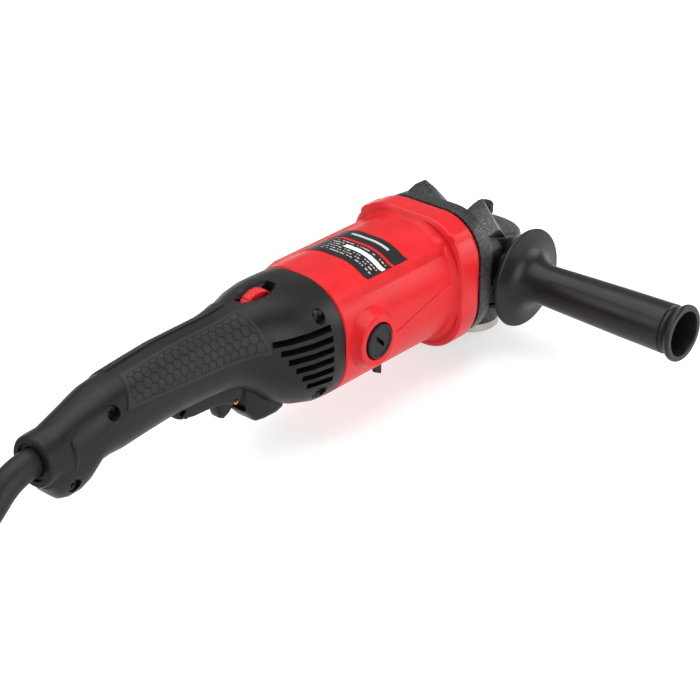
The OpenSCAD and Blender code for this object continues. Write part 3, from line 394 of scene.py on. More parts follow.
def hexagon_rubber(name, pitch=5.3):
    """Soft grip rubber with a honeycomb of sunk lines that follows the grip's own UV map; the lines are
    painted darker, as painted shade in the grooves.
    """
    material, tree = new_tree(name)
    uv = add(tree, "ShaderNodeUVMap", {"uv_map": "GripWrap"}).outputs[0]
    split = add(tree, "ShaderNodeSeparateXYZ", Vector=uv).outputs
    u = sum_of(tree, "DIVIDE", split[0], pitch * MM)
    v = sum_of(tree, "DIVIDE", split[1], pitch * MM)
    wide = math.sqrt(3)

    def nearest(shift_u, shift_v):
        cell_u = sum_of(tree, "FLOORED_MODULO", sum_of(tree, "ADD", u, shift_u), 1.0)
        cell_v = sum_of(tree, "FLOORED_MODULO", sum_of(tree, "ADD", v, shift_v), wide)
        a = sum_of(tree, "SUBTRACT", cell_u, 0.5)
        b = sum_of(tree, "SUBTRACT", cell_v, wide / 2)
        return a, b, sum_of(tree, "ADD", sum_of(tree, "MULTIPLY", a, a), sum_of(tree, "MULTIPLY", b, b))

    a1, b1, d1 = nearest(0.0, 0.0)
    a2, b2, d2 = nearest(0.5, wide / 2)
    first = sum_of(tree, "LESS_THAN", d1, d2)
    other = sum_of(tree, "SUBTRACT", 1.0, first)

    def chosen(p, q):
        return sum_of(tree, "ABSOLUTE", sum_of(tree, "ADD", sum_of(tree, "MULTIPLY", p, first),
                                               sum_of(tree, "MULTIPLY", q, other)))

    a, b = chosen(a1, a2), chosen(b1, b2)
    slant = sum_of(tree, "ADD", sum_of(tree, "MULTIPLY", a, 0.5), sum_of(tree, "MULTIPLY", b, wide / 2))
    edge = sum_of(tree, "MAXIMUM", a, slant)
    line = add(tree, "ShaderNodeMapRange", Value=edge, From_Min=0.41, From_Max=0.46, To_Min=0.0,
               To_Max=1.0).outputs["Result"]
    # a plain border runs round the honeycomb, with a sunk line inside it
    where = add(tree, "ShaderNodeTexCoord").outputs["Object"]
    x, y, z = add(tree, "ShaderNodeSeparateXYZ", Vector=where).outputs

    def inset(p, q, share, start):
        return sum_of(tree, "SUBTRACT", start * MM,
                      sum_of(tree, "ADD", p, sum_of(tree, "MULTIPLY", q, share)))

    front = inset(x, z, 0.25, -183.5)
    rear = inset(sum_of(tree, "MULTIPLY", x, -1.0), z, 0.5, 334.0)
    under = sum_of(tree, "SUBTRACT", sum_of(tree, "ADD", z, sum_of(tree, "MULTIPLY", x, 0.045)), 59.5 * MM)
    above = sum_of(tree, "SUBTRACT", sum_of(tree, "ABSOLUTE", y), 4.6 * MM)
    near = sum_of(tree, "MINIMUM", sum_of(tree, "MINIMUM", front, rear),
                  sum_of(tree, "MINIMUM", under, above))
    line = sum_of(tree, "MULTIPLY", line, sum_of(tree, "GREATER_THAN", near, 2.3 * MM))
    groove = between(tree, near, 1.9, 2.5)
    line = sum_of(tree, "MAXIMUM", line, groove)
    fine = grain(tree, 0.4, 3.0)
    height = sum_of(tree, "SUBTRACT", sum_of(tree, "MULTIPLY", fine, 0.06), line)
    bump = add(tree, "ShaderNodeBump", Strength=0.8, Distance=0.5 * MM, Height=height)
    # painted shade: the sunk honeycomb lines and the border groove are coloured darker than the rubber
    colour = blend_colours(tree, line, linear("#1A1A1C"), linear("#080809"))
    return finish_surface(tree, material, bump.outputs[0], Base_Color=colour, Roughness=0.5, IOR=1.5,
                          Specular_IOR_Level=0.22)


def printed_label(name):
    """Black film with rows of fine print and one white bar."""
    material, tree = new_tree(name)
    where = add(tree, "ShaderNodeTexCoord").outputs["Object"]
    split = add(tree, "ShaderNodeSeparateXYZ", Vector=where).outputs
    row = sum_of(tree, "FLOORED_MODULO", sum_of(tree, "DIVIDE", split[0], 2.6 * MM), 1.0)
    in_row = sum_of(tree, "MULTIPLY", sum_of(tree, "GREATER_THAN", row, 0.35),
                    sum_of(tree, "LESS_THAN", row, 0.7))
    steps = sum_of(tree, "SNAP", split[0], 2.6 * MM)
    cell = add(tree, "ShaderNodeCombineXYZ", X=sum_of(tree, "MULTIPLY", steps, 900.0),
               Y=sum_of(tree, "SNAP", split[1], 0.8 * MM))
    dash = add(tree, "ShaderNodeTexWhiteNoise", {"noise_dimensions": "3D"}, Vector=cell.outputs[0])
    ink = sum_of(tree, "MULTIPLY", in_row, sum_of(tree, "GREATER_THAN", dash.outputs["Value"], 0.5))

    def patch(x0, x1, y0, y1):
        return sum_of(tree, "MULTIPLY", between(tree, split[0], x0, x1), between(tree, split[1], y0, y1))

    ink = sum_of(tree, "MULTIPLY", ink, patch(-121.5, -106.5, -24, 12))
    bar = patch(-113.6, -110.4, -26, 2)
    title = patch(-98.3, -96.3, -17, 10)
    white = sum_of(tree, "MAXIMUM", sum_of(tree, "MULTIPLY", ink, 0.45),
                   sum_of(tree, "MAXIMUM", bar, sum_of(tree, "MULTIPLY", title, 0.5)))
    colour = blend_colours(tree, white, linear("#161617"), linear("#E4E2E0"))
    return finish_surface(tree, material, None, Base_Color=colour, Roughness=0.4, IOR=1.5,
                          Specular_IOR_Level=0.2)


def studio_board(name):
    """A white board lit from behind, so that shadows on it stay pale."""
    material, tree = new_tree(name)
    return finish_surface(tree, material, None, Base_Color=linear("#BCBCBC"), Roughness=0.85,
                          Emission_Color=(1, 1, 1, 1), Emission_Strength=0.55)


FINISH = {}


def make_finishes(p):
    FINISH.update(
        red=moulded("Red ABS, gloss moulded", p.hex(p.housing_colour), 0.36, 0.8, 0.05, 1.5, 0.0, 0.2),
        black=moulded("Black nylon, spark finish", "#0F0F10", 0.4, 0.6, 0.09, shine=0.18),
        satin=moulded("Black nylon, satin", "#141416", 0.34, 0.5, 0.02),
        rubber=moulded("Black rubber, satin", "#1A1A1D", 0.45, 0.5, 0.02, 1.5),
        side=moulded("Black soft plastic", "#131315", 0.34, 0.5, 0.02, 1.5, 0.0, 0.2),
        grip=hexagon_rubber("Honeycomb grip rubber"),
        casting=cast_paint("Hammered paint on die casting"),
        cap=turned_cap("Casting with a machined collar"),
        steel=metal("Zinc-plated steel", "#B9B9BA", 0.3),
        dark_steel=metal("Blackened steel", "#2C2C2E", 0.36),
        gear=metal("Case-hardened steel", "#8C8D90", 0.36),
        bronze=metal("Sintered bronze", "#A9793F", 0.4),
        brass=metal("Drawn brass", "#C98C3F", 0.28),
        copper=metal("Enamelled copper", "#B4603A", 0.38, 0.8),
        laminated=metal("Varnished laminations", "#6C6E71", 0.45),
        label=printed_label("Printed black film"),
        felt=moulded("Grey felt", "#4B4640", 0.9, 0.5, 0.2),
        fan=moulded("Green glass-filled nylon", "#2F4A38", 0.5),
        carbon=moulded("Pressed carbon", "#2A2A2C", 0.6, 0.3),
        board=moulded("Potted circuit board", "#27402F", 0.4, 1.0),
        yellow=moulded("Yellow dipped film", "#C3A52E", 0.3, 0.8),
        floor=studio_board("White studio board"),
    )


SLOT_FINISH = {
    "cast_metal": "casting", "cap_metal": "cap", "steel": "steel", "gear_steel": "gear",
    "bronze": "bronze", "felt": "felt", "black_plastic": "black", "grip_rubber": "side",
    "red_plastic": "red", "laminations": "laminated", "copper": "copper", "fan_plastic": "fan",
    "seat_rubber": "rubber", "brass": "brass", "carbon": "carbon", "label_film": "label",
    "circuit_board": "board", "switch_plastic": "satin", "film_capacitor": "yellow",
    "lead_rubber": "rubber",
}
DARK_STEEL_NODES = ("handle_screws", "gear_case_screws", "bearing_cap_screws", "trigger_pin")


# ---------------------------------------------------------------- sizes and colours

class GrinderSizes(PropertyGroup):
    housing_colour: FloatVectorProperty(
        name="Housing colour", description="Colour of the motor housing and the speed dial",
        subtype="COLOR_GAMMA", size=3, min=0, max=1, default=(0.69, 0.085, 0.105))
    pad_height: FloatProperty(
        name="Pad height", description="How far the grip pads stand out of the handle",
        default=0.0008, min=0.0003, max=0.0012, unit="LENGTH")
    lead_diameter: FloatProperty(
        name="Lead diameter", description="Diameter of the mains lead",
        default=0.008, min=0.006, max=0.01, unit="LENGTH")
    side_points: IntProperty(
        name="Roundness", description="Points round the side handle", default=72, min=24, max=128)

    @staticmethod
    def hex(colour):
        return "#" + "".join(f"{round(v * 255):02X}" for v in colour)


# ---------------------------------------------------------------- pieces

class GRINDER_OT_stage(Operator):
    """Adds the camera, the pale floor and soft studio lights"""
    bl_idname = "grinder.stage"
    bl_label = "Studio stage"

    def execute(self, context):
        begin()
        eye = Vector((-944.1, -723.8, 605.7)) * MM
        aim = Vector((-110.25, 0, 26.8)) * MM
        bpy.ops.object.camera_add(location=eye, rotation=(aim - eye).to_track_quat("-Z", "Y").to_euler())
        camera = context.object
        camera.data.lens = 113.1
        camera.data.sensor_width = 36
        camera.data.clip_start = 0.01
        camera.data.dof.use_dof = False
        context.scene.camera = camera
        begin()
        bpy.ops.mesh.primitive_plane_add(size=9, location=(-0.1, 0, -0.0004))
        floor = settle("Floor")
        floor.data.materials.append(FINISH["floor"])
        lights = [
            ("Overhead softbox", (-0.2, 0.3, 1.9), (-0.15, 0, 0), 2.2, 56),
            ("Side softbox", (-0.35, -1.7, 0.45), (-0.15, 0, 0.05), 1.3, 26),
            ("Rear strip", (-1.5, 0.9, 0.9), (-0.2, 0, 0.06), 0.8, 9),
            ("Front fill", (1.2, -0.9, 0.6), (-0.05, 0, 0.05), 0.9, 12),
        ]
        made = [floor]
        for name, place, to, size, power in lights:
            begin()
            place, to = Vector(place), Vector(to)
            bpy.ops.object.light_add(type="AREA", location=place,
                                     rotation=(to - place).to_track_quat("-Z", "Y").to_euler())
            light = context.object
            light.name = name
            light.data.size = size
            light.data.energy = power
            made.append(light)
        world = bpy.data.worlds.new("Studio air")
        world.use_nodes = True
        world.node_tree.nodes["Background"].inputs[0].default_value = (1, 1, 1, 1)
        world.node_tree.nodes["Background"].inputs[1].default_value = 0.42
        context.scene.world = world
        context.scene.view_settings.view_transform = "Standard"
        context.scene.view_settings.look = "None"
        return {"FINISHED"}


def coil_points():
    """The lead's coil: a spiral in along the bench, up, and out again on top."""
    points = []
    cx, cy = COIL_CENTRE
    first, last = -83.5, 83.8 - 360 * 7
    turn = first - last
    count = 7 * 40
    for i in range(1, count):
        t = i / count
        angle = math.radians(first - turn * t)
        if t < 0.45:
            r, z = 62.4 - 27.4 * t / 0.45, 5.3
        elif t < 0.55:
            s = (t - 0.45) / 0.1
            r, z = 35.0, 5.3 + 7.9 * s * s * (3 - 2 * s)
        else:
            r, z = 35.0 + 29.2 * (t - 0.55) / 0.45, 13.2
        points.append((cx + r * math.cos(angle), cy + r * math.sin(angle), z))
    return points


class GRINDER_OT_lead(Operator):
    """Adds the mains lead with its coil, the sleeve and the plug"""
    bl_idname = "grinder.lead"
    bl_label = "Mains lead"

    def execute(self, context):
        p = context.scene.grinder
        route = LEAD_ROUTE + coil_points() + TAIL_ROUTE
        begin()
        curve = bpy.data.curves.new("Mains lead", "CURVE")
        curve.dimensions = "3D"
        spline = curve.splines.new("POLY")
        spline.points.add(len(route) - 1)
        for point, place in zip(spline.points, route):
            point.co = [v * MM for v in place] + [1]
        curve.bevel_depth = p.lead_diameter / 2
        curve.bevel_resolution = 5
        curve.use_fill_caps = True
        curve.materials.append(FINISH["rubber"])
        lead = bpy.data.objects.new("Mains_lead", curve)
        context.scene.collection.objects.link(lead)
        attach(lead, "body")
        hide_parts("cord", "cord_coil")

        sleeve = self.sleeve()
        plug = self.plug()
        return {"FINISHED"}

    @staticmethod
    def sleeve():
        begin()
        bpy.ops.mesh.primitive_circle_add(vertices=48, radius=7.7 * MM, fill_type="NGON",
                                          location=(-0.324, 0, LEAD_Z * MM), rotation=TURN["X"])
        obj = settle("Cord sleeve")
        edit(obj)
        bpy.ops.mesh.select_all(action="SELECT")
        at = Vector((-324, 0, LEAD_Z))
        facing = 0.0
        bend = 36               # radius of the sleeve's bend
        steps = [((-346, 0, LEAD_Z), 0, 1)]
        for i in range(1, 13):
            a = math.radians(45 * i / 12)
            place = (-346 - bend * math.sin(a), 0, LEAD_Z - bend * (1 - math.cos(a)))
            steps.append((place, 45 * i / 12, 1))
        for s, r in ((0.25, 0.965), (0.5, 0.9), (0.75, 0.82), (0.96, 0.745), (1.0, 0.71)):
            steps.append(((-371.46 - 17.68 * s, 0, 47.96 - 17.68 * s), 45, r))
        size = 1.0
        for place, angle, r in steps:
            place = Vector(place)
            bpy.ops.mesh.extrude_region_move(TRANSFORM_OT_translate={"value": (place - at) * MM})
            if angle != facing:
                bpy.ops.transform.rotate(value=math.radians(angle - facing), orient_axis="Y",
                                         center_override=place * MM)
            if r != size:
                bpy.ops.transform.resize(value=(r / size,) * 3, center_override=place * MM)
            at, facing, size = place, angle, r
        bpy.ops.mesh.select_all(action="SELECT")
        bpy.ops.mesh.normals_make_consistent(inside=False)
        leave()
        return done(obj, FINISH["rubber"], nodes=("cord_sleeve",))

    @staticmethod
    def plug():
        body = grow("Plug body", "X", [(x, *PLUG, a, b) for x, a, b in (
            (-421, 5.2, 5.2), (-418, 5.8, 5.8), (-405, 8.5, 8.5), (-401.5, 11, 9.5), (-400, 17, 12.4),
            (-396, 18.4, 13.4), (-380, 17.6, 12.6), (-367, 18.4, 13.4), (-365, 17.4, 12.4))], 0.9, 48)
        soften(body, 0.6, 2, 40)
        return done(body, FINISH["rubber"], nodes=("plug_body",))


class GRINDER_OT_motor(Operator):
    """Adds the red motor housing with its flange, ridges, brush bosses and brush caps"""
    bl_idname = "grinder.motor"
    bl_label = "Motor housing"

    def execute(self, context):
        z = MOTOR_Z
        barrel = grow("Motor housing", "X", [
            (d, 0, z, h, h) for d, h in (
                (-154, 35.3), (-153.2, 36), (-140, 36), (-126, 36), (-105.5, 36), (-103, 36), (-92, 36),
                (-67, 36), (-64, 36.6), (-62.2, 38), (-61.4, 39.2), (-50, 39.2))], ROUND, 64)
        # a crisp ridge runs along each upper corner, where the flat side begins
        self.crease(barrel, 26.9, 3.2, -63, 0.7, 1.2)
        self.crease(barrel, 27.9, 1.1, -63, 0.8, 1.1)
        label = self.label(barrel)
        flange = grow("Flange", "X", [
            (-61.6, 0, z, 38.4, 38.4), (-60.6, 0, z, 40.1, 40.1), (-59.6, 0, z, 40.5, 40.5),
            (-47.5, 0, z, 40.5, 40.5), (-46.6, 0, z, 40.3, 40.3), (-42.6, 0, z, 38.3, 38.3),
            (-42.05, 0, z, 37.4, 37.4)], 0.66, 64)
        self.crease(flange, 32.6, 1.6, -46, 1.2, 0.5)
        bosses = []
        for side in (-1, 1):
            bosses.append(turned("Brush boss", "Y", BRUSH_X, z, [
                (side * 30, 18.6), (side * 35.5, 17.4), (side * 38.5, 15.6), (side * 41, 14.9),
                (side * 41.8, 14.2), (side * 41.8, 11.1), (side * 40.6, 10.6), (side * 34, 10.5)], 64))
        combine(barrel, [flange] + bosses, "UNION")
        wells = [turned("Well", "Y", BRUSH_X, z, [(side * 37, 10.35), (side * 60, 10.35)], 64)
                 for side in (-1, 1)]
        # shallow slanted lines moulded on each side
        for side in (-1, 1):
            for (x0, z0), (x1, z1) in (((-63.5, 80.4), (-119, 73.4)), ((-66, 64.4), (-112, 51.6)),
                                       ((-112, 51.6), (-117, 44.6))):
                wells.append(grow("Line", "X", [
                    (x1, side * 36.2, z1, 0.55, 0.5), (x0, side * 36.2, z0, 0.55, 0.5)], 0.3, 8))
        combine(barrel, wells)
        done(barrel, FINISH["red"], nodes=("motor_housing",), angle=20)
        done(label, FINISH["label"], nodes=("rating_label",))
        caps = []
        for side in (-1, 1):
            cap = turned("Brush cap", "Y", BRUSH_X, z, [
                (side * 37.2, 10.0), (side * 42.2, 10.0), (side * 42.9, 9.4), (side * 42.9, 8.3),
                (side * 42.4, 7.9), (side * 42.4, 0.4)], 56)
            slot = grow("Slot", "X", [(BRUSH_X - 3.2, side * 42.2, z + 2.9, 2.6, 1.6),
                                      (BRUSH_X + 3.2, side * 42.2, z - 2.9, 2.6, 1.6)], 0.2, 8)
            caps.append(combine(cap, [slot]))
        done(join("Brush caps", caps), FINISH["satin"], nodes=("brush_caps",))
        fin = grow("Hose clip", "X", [(-106.8, -14.8, 20.6, 1.1, 4.2), (-102, -14.8, 18.6, 1.1, 4.6),
                                      (-101.2, -14.8, 18.2, 0.9, 4.6)], 0.3, 12)
        done(fin, FINISH["black"], nodes=("hose_clip",))
        return {"FINISHED"}

    @staticmethod
    def crease(shell, corner, reach, front, out, up):
        """Pulls each upper corner out to the edge between the top and the flat side."""
        edit(shell)
        for side in (-1, 1):
            pick(shell, lambda c, n: abs(c.y - side * corner) < reach
                 and abs(c.z - (MOTOR_Z + corner)) < reach and -150 < c.x < front, "VERT")
            bpy.ops.transform.translate(value=(0, side * out * MM, up * MM))
        leave()

    @staticmethod
    def label(barrel):
        edit(barrel)
        pick(barrel, lambda c, n: (-126 < c.x < -105.5 or -103 < c.x < -92) and c.z > MOTOR_Z + 28.2
             and -27 < c.y < 22)
        bpy.ops.mesh.duplicate()
        bpy.ops.mesh.separate(type="SELECTED")
        leave()
        label = [o for o in bpy.context.selected_objects if o is not barrel][0]
        label.name = "Rating label"
        select_only(label)
        shell = label.modifiers.new("Film", "SOLIDIFY")
        shell.thickness = 0.3 * MM
        shell.offset = 0.6
        bpy.ops.object.modifier_apply(modifier=shell.name)
        return label


class GRINDER_OT_head(Operator):
    """Adds the cast gear case with its ribs, bosses and lock button"""
    bl_idname = "grinder.head"
    bl_label = "Gear head"

    def execute(self, context):
        z = MOTOR_Z
        nose = turned("Gear case", "Z", 0, 0, [(27.1, 29), (60, 29), (76, 29)], 96)
        slice_off(nose, (0, 0, 69), (0.2, 0, 1))
        soften(nose, 4.0, 3, 50)
        neck = grow("Neck", "X", [
            (-41.95, 0, z, 39.4, 39.4), (-32, 0, z, 38.8, 38.8), (-30.8, 0, z, 37.6, 37.6),
            (-18, 0, z + 1.5, 30, 24), (-4, 0, z + 1, 27.6, 14)], 0.66, 48)
        ribs = []
        for side in (-1, 1):
            # roof-shaped ribs above, stubby ones below
            ribs.append(grow("Rib", "X", [
                (-38, side * 21.5, 80, 13, 12.5), (-27, side * 21.5, 80.5, 13.5, 15.6),
                (-18.6, side * 21, 80.5, 12, 15.6), (-12, side * 19, 76, 11.5, 13.5),
                (-3.5, side * 17, 68, 11, 11.5)], None, 4))
            ribs.append(grow("Low rib", "X", [
                (-38, side * 25, 31, 11, 9.5), (-30, side * 25, 31, 10, 9.5), (-14, side * 18, 40, 8, 8)],
                None, 6))
            ribs.append(turned("Handle boss", "Y", 0, GUARD_Z, [
                (side * 8, 15), (side * 28.6, 15), (side * 30, 13.6), (side * 37.2, 11),
                (side * 38, 10.2)], 48))
        combine(nose, [neck] + ribs, "UNION")
        room = turned("Cap room", "Z", 0, 0, [(0, 29.3), (26.9, 29.3)], 96)
        chamber = turned("Chamber", "Z", 0, 0, [(20, 22.7), (52, 22.7)], 64)
        mouth = turned("Left hole", "Y", 0, GUARD_Z, [(26, 5), (45, 5)], 32)
        button_well = turned("Button well", "Z", LOCK_X, 0, [(64, 6), (90, 6)], 40)
        combine(nose, [room, chamber, mouth, button_well])
        soften(nose, 0.7, 2, 28)
        done(nose, FINISH["casting"], nodes=("gear_case",), angle=40)
        button = turned("Lock button", "Z", LOCK_X, 0, [
            (50.6, 2.3), (76.5, 2.3), (76.5, 4.7), (71.7, 4.7), (71.7, 5.4), (76.8, 5.4),
            (77.6, 4.8), (77.9, 3.4)], 40)
        done(button, FINISH["satin"], "lock_button", ("lock_button",))
        return {"FINISHED"}


class GRINDER_OT_side_handle(Operator):
    """Adds the side handle with its finger guard and hollow end"""
    bl_idname = "grinder.side_handle"
    bl_label = "Side handle"

    def execute(self, context):
        points = context.scene.grinder.side_points
        grip = turned("Side handle", "Y", 0, GUARD_Z, [
            (-38.4, 9.5), (-39, 11.6), (-39, 28.6), (-39.4, 29.4), (-40.4, 29.8), (-41.4, 29.5),
            (-42, 28.9), (-43.2, 21.5), (-44.4, 18.4), (-46.4, 15.8), (-49.2, 13.8), (-53, 12.6),
            (-57, 12.1), (-80, 12.9), (-110, 13.8), (-141.5, 14.5), (-142.2, 13.5), (-143.8, 13.4),
            (-145.6, 14.3), (-147.4, 16.1), (-148.6, 16.7), (-150.1, 16.6), (-150.8, 16.0),
            (-150.8, 13.3), (-149.6, 12.8), (-136, 12.6), (-135.8, 9.2), (-126, 9)], points)
        # the narrow outline moulded on each side of the grip
        for side in (-1, 1):
            frame_line = block("Panel", (side * 3.6, -128, GUARD_Z + 9), (side * -3.6, -66, GUARD_Z + 18))
            middle = block("Panel middle", (side * 2.7, -127.1, GUARD_Z + 8),
                           (side * -2.7, -66.9, GUARD_Z + 19))
            combine(frame_line, [middle])
            self.swing(frame_line, side * 62)
            shell = turned("Shell", "Y", 0, GUARD_Z, [
                (-60, 12.02), (-80, 12.62), (-110, 13.52), (-135, 14.1)], points)
            combine(frame_line, [shell])
            combine(grip, [frame_line])
        ribs = []
        for i in range(4):
            rib = block("Rib", (-0.7, -139, GUARD_Z + 5), (0.7, -127, GUARD_Z + 13.2))
            self.swing(rib, 90 * i + 20)
            ribs.append(rib)
        hub = turned("Hub", "Y", 0, GUARD_Z, [(-127, 6.6), (-141, 6.2), (-141, 4), (-130, 3.8)], 32)
        whole = join("Side handle", [grip, hub] + ribs)
        done(whole, FINISH["side"], nodes=("side_handle",), angle=28)
        return {"FINISHED"}

    @staticmethod
    def swing(obj, degrees):
        """Turns a piece about the side handle's axis."""
        edit(obj)
        bpy.ops.mesh.select_all(action="SELECT")
        bpy.ops.transform.rotate(value=math.radians(degrees), orient_axis="Y",
                                 center_override=(0, 0, GUARD_Z * MM))
        leave()


class GRINDER_OT_handle(Operator):
    """Adds the black rear handle with vents, dial recess, trigger slot and screw holes"""
    bl_idname = "grinder.handle"
    bl_label = "Rear handle"

    def execute(self, context):
        shell = grow("Rear handle", "X", [(x, 0, zc, a, b) for x, zc, a, b in HANDLE], ROUND, 64)
        nose = turned("Lead nose", "X", 0, LEAD_Z, [
            (-326, 14.3), (-329.4, 14.9), (-330.4, 15.6), (-331.6, 15.6), (-332.4, 14.8), (-343, 14.4),
            (-346.4, 14), (-347.4, 13.2), (-347.4, 10.4), (-346.2, 10)], 56)
        lug = grow("Finger guard", "X", [
            (-205.6, 0, 36, 7.6, 7.5), (-203, 0, 36.5, 8.4, 9.6), (-196, 0, 32, 9, 12.6),
            (-190, 0, 30.5, 9.2, 12.0), (-181, 0, 29.5, 9, 11.3), (-175, 0, 29, 8.4, 9.6)], 0.35, 16)
        soften(lug, 1.2, 3, 30)
        combine(shell, [nose, lug], "UNION")
        cuts = []
        for side in (-1, 1):
            for i in range(6):
                z, back = 73 - 6 * i, -200 + 3.9 * i
                y = sorted((side * 17.0, side * 60))
                cuts.append(soften(block("Vent", (back, y[0], z - 1.8), (-164, y[1], z + 1.8)), 0.5, 2))
        for x, z, y in SCREWS:
            cuts.append(turned("Screw well", "Y", x, z, [(-60, 3.9), (-y + 3.8, 3.9)], 32))
        begin()
        bpy.ops.mesh.primitive_uv_sphere_add(segments=48, ring_count=24, radius=1,
                                             location=(-0.1875, 0, 0.0945))
        bpy.context.object.scale = (0.0138, 0.0088, 0.0064)
        cuts.append(settle("Dial dish"))
        dial_x = DIAL[0]
        cuts.append(soften(block("Dial slot", (dial_x - 13.2, -3.4, 60), (dial_x + 13.2, 3.4, 100)), 0.4, 2))
        cuts.append(block("Trigger slot", (-255, -7.9, 30), (-203.2, 7.9, 59)))
        cuts.append(turned("Lead hole", "X", 0, LEAD_Z, [
            (-352, 8.3), (-343, 8.3), (-340, 7.8), (-320, 7.7)], 48))
        combine(shell, cuts)
        soften(shell, 0.45, 2, 42)
        done(shell, FINISH["black"], nodes=("handle_right", "handle_left"), angle=30)
        return {"FINISHED"}


def handle_centre(x):
    """The grip's centre height and half width at a place along it."""
    for (x0, z0, a0, b0), (x1, z1, a1, b1) in zip(HANDLE, HANDLE[1:]):
        if x1 <= x <= x0:
            t = (x - x0) / (x1 - x0)
            return z0 + (z1 - z0) * t, a0 + (a1 - a0) * t
    return 56.0, 36.0


class GRINDER_OT_pads(Operator):
    """Adds the two soft grip pads"""
    bl_idname = "grinder.pads"
    bl_label = "Grip pads"

    def execute(self, context):
        high = context.scene.grinder.pad_height / MM
        part = [s for s in HANDLE if -318 < s[0] < -192]
        pad = grow("Grip pad right", "X", [
            (x, 0, zc, a + high, b + high) for x, zc, a, b in part], ROUND, 96)
        slice_off(pad, (-203.5, 0, 80), (1, 0, 0.25))
        slice_off(pad, (-299, 0, 70), (-1, 0, 0.5))
        slice_off(pad, (-202, 0, 68.6), (-0.045, 0, -1))
        slice_off(pad, (0, -4.6, 0), (0, 1, 0))
        soften(pad, 0.9, 3, 40)
        self.wrap(pad)
        left = mirrored(pad, "Grip pad left")
        self.wrap(left)
        done(pad, FINISH["grip"], nodes=("grip_pad_right",))
        done(left, FINISH["grip"], nodes=("grip_pad_left",))
        return {"FINISHED"}

    @staticmethod
    def wrap(pad):
        """A UV map in metres: along the grip, and round it."""
        uv = pad.data.uv_layers.get("GripWrap") or pad.data.uv_layers.new(name="GripWrap")
        for loop in pad.data.loops:
            x, y, z = (v / MM for v in pad.data.vertices[loop.vertex_index].co)
            zc, a = handle_centre(x)
            round_by = math.atan2(z - zc, abs(y)) - 0.78
            uv.data[loop.index].uv = (x * MM, round_by * 19.5 * MM)


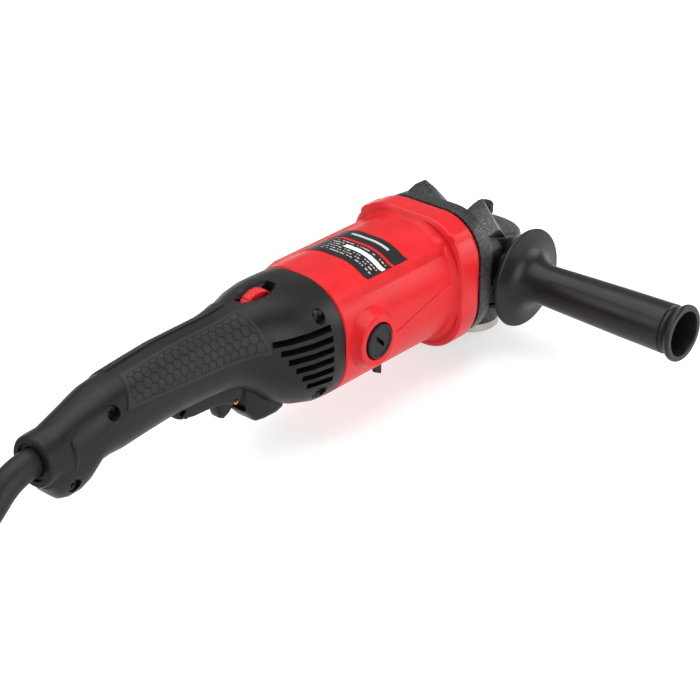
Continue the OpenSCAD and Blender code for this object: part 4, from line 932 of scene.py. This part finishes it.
class GRINDER_OT_controls(Operator):
    """Adds the speed dial, the trigger paddle and the lock-off lever"""
    bl_idname = "grinder.controls"
    bl_label = "Dial, trigger and lever"

    def execute(self, context):
        dial = turned("Speed dial", "Y", *DIAL, [
            (-3, 11.7), (-2.5, 12.5), (2.5, 12.5), (3, 11.7)], 72)
        notches = []
        for i in range(18):
            a = math.radians(20 * i)
            notches.append(turned("Notch", "Y", DIAL[0] + 13.1 * math.sin(a), DIAL[1] + 13.1 * math.cos(a),
                                  [(-5, 1.2), (5, 1.2)], 12))
        notches.append(turned("Axle bore", "Y", *DIAL, [(-5, 2.05), (5, 2.05)], 24))
        combine(dial, [join("Notches", notches)])
        soften(dial, 0.25, 2, 40)
        done(dial, FINISH["red"], "speed_dial", ("speed_dial",))

        paddle = grow("Trigger paddle", "X", [
            (-254.2, 0, 47.6, 6.9, 2.4), (-251, 0, 47.2, 7.4, 3.4), (-242, 0, 46.8, 7.5, 4.8),
            (-228, 0, 46.7, 7.5, 5.4), (-219, 0, 45.8, 7.5, 6.4), (-213, 0, 44.4, 7.5, 7.8),
            (-208.5, 0, 44.2, 7.5, 8.2), (-205, 0, 46, 7.4, 6.2), (-204.3, 0, 46.4, 7.2, 5.4)], 0.25, 12)
        slot = block("Lever slot", (-228.4, -3.9, 20), (-199, 3.9, 48))
        pivot = turned("Pivot bore", "Y", *TRIGGER_PIN, [(-12, 2.05), (12, 2.05)], 24)
        seat = turned("Spring seat", "Z", -236.2, 0, [(50.2, 4.3), (60, 4.3)], 24)
        combine(paddle, [slot, pivot, seat])
        soften(paddle, 0.5, 2, 35)
        done(paddle, FINISH["black"], "trigger", ("trigger",))

        lever = grow("Lock-off lever", "X", [
            (-220.6, 0, 35.2, 3.1, 2.6), (-219.4, 0, 34.6, 3.5, 4.6), (-216.5, 0, 34.6, 3.5, 6.2),
            (-213, 0, 36.4, 3.5, 6.6), (-209.5, 0, 38.2, 3.5, 5.4), (-207.4, 0, 38.6, 3.4, 3.2)], 0.3, 12)
        arm = grow("Lever arm", "X", [(-220.6, 0, 41.9, 3.2, 1.4), (-212, 0, 41.2, 3.4, 2.4)], 0.3, 12)
        bore = turned("Lever bore", "Y", *LEVER_PIN, [(-12, 1.75), (12, 1.75)], 24)
        combine(lever, [arm], "UNION")
        combine(lever, [bore])
        soften(lever, 0.5, 2, 35)
        done(lever, FINISH["satin"], "lock_off_lever", ("lock_off_lever",))
        return {"FINISHED"}


class GRINDER_OT_hardware(Operator):
    """Gives every remaining frame piece its own finish"""
    bl_idname = "grinder.hardware"
    bl_label = "Hardware finishes"

    def execute(self, context):
        for part in frame["record"]["subparts"]:
            obj = frame["nodes"][part["node"]]
            dark = part["node"] in DARK_STEEL_NODES
            finish = "dark_steel" if dark else SLOT_FINISH[part["material_slot"]]
            obj.data.materials.clear()
            obj.data.materials.append(FINISH[finish])
        return {"FINISHED"}


class GRINDER_PT_panel(Panel):
    """Lists the grinder's sizes and its building steps"""
    bl_idname = "GRINDER_PT_panel"
    bl_label = "Angle Grinder"
    bl_space_type = "VIEW_3D"
    bl_region_type = "UI"
    bl_category = "Grinder"

    def draw(self, context):
        column = self.layout.column()
        sizes = context.scene.grinder
        for name in ("housing_colour", "pad_height", "lead_diameter", "side_points"):
            column.prop(sizes, name)
        for step in STEPS:
            column.operator(step.bl_idname)


STEPS = (GRINDER_OT_stage, GRINDER_OT_lead, GRINDER_OT_motor, GRINDER_OT_head, GRINDER_OT_side_handle,
         GRINDER_OT_handle, GRINDER_OT_pads, GRINDER_OT_controls, GRINDER_OT_hardware)
CLASSES = (GrinderSizes,) + STEPS + (GRINDER_PT_panel,)


def register():
    for cls in CLASSES:
        bpy.utils.register_class(cls)
    bpy.types.Scene.grinder = PointerProperty(type=GrinderSizes)


def unregister():
    del bpy.types.Scene.grinder
    for cls in reversed(CLASSES):
        bpy.utils.unregister_class(cls)


def main():
    register()
    make_finishes(bpy.context.scene.grinder)
    bpy.ops.grinder.stage()
    bpy.ops.grinder.lead()
    bpy.ops.grinder.motor()
    bpy.ops.grinder.head()
    bpy.ops.grinder.side_handle()
    bpy.ops.grinder.handle()
    bpy.ops.grinder.pads()
    bpy.ops.grinder.controls()
    bpy.ops.grinder.hardware()


if __name__ == "__main__":
    main()
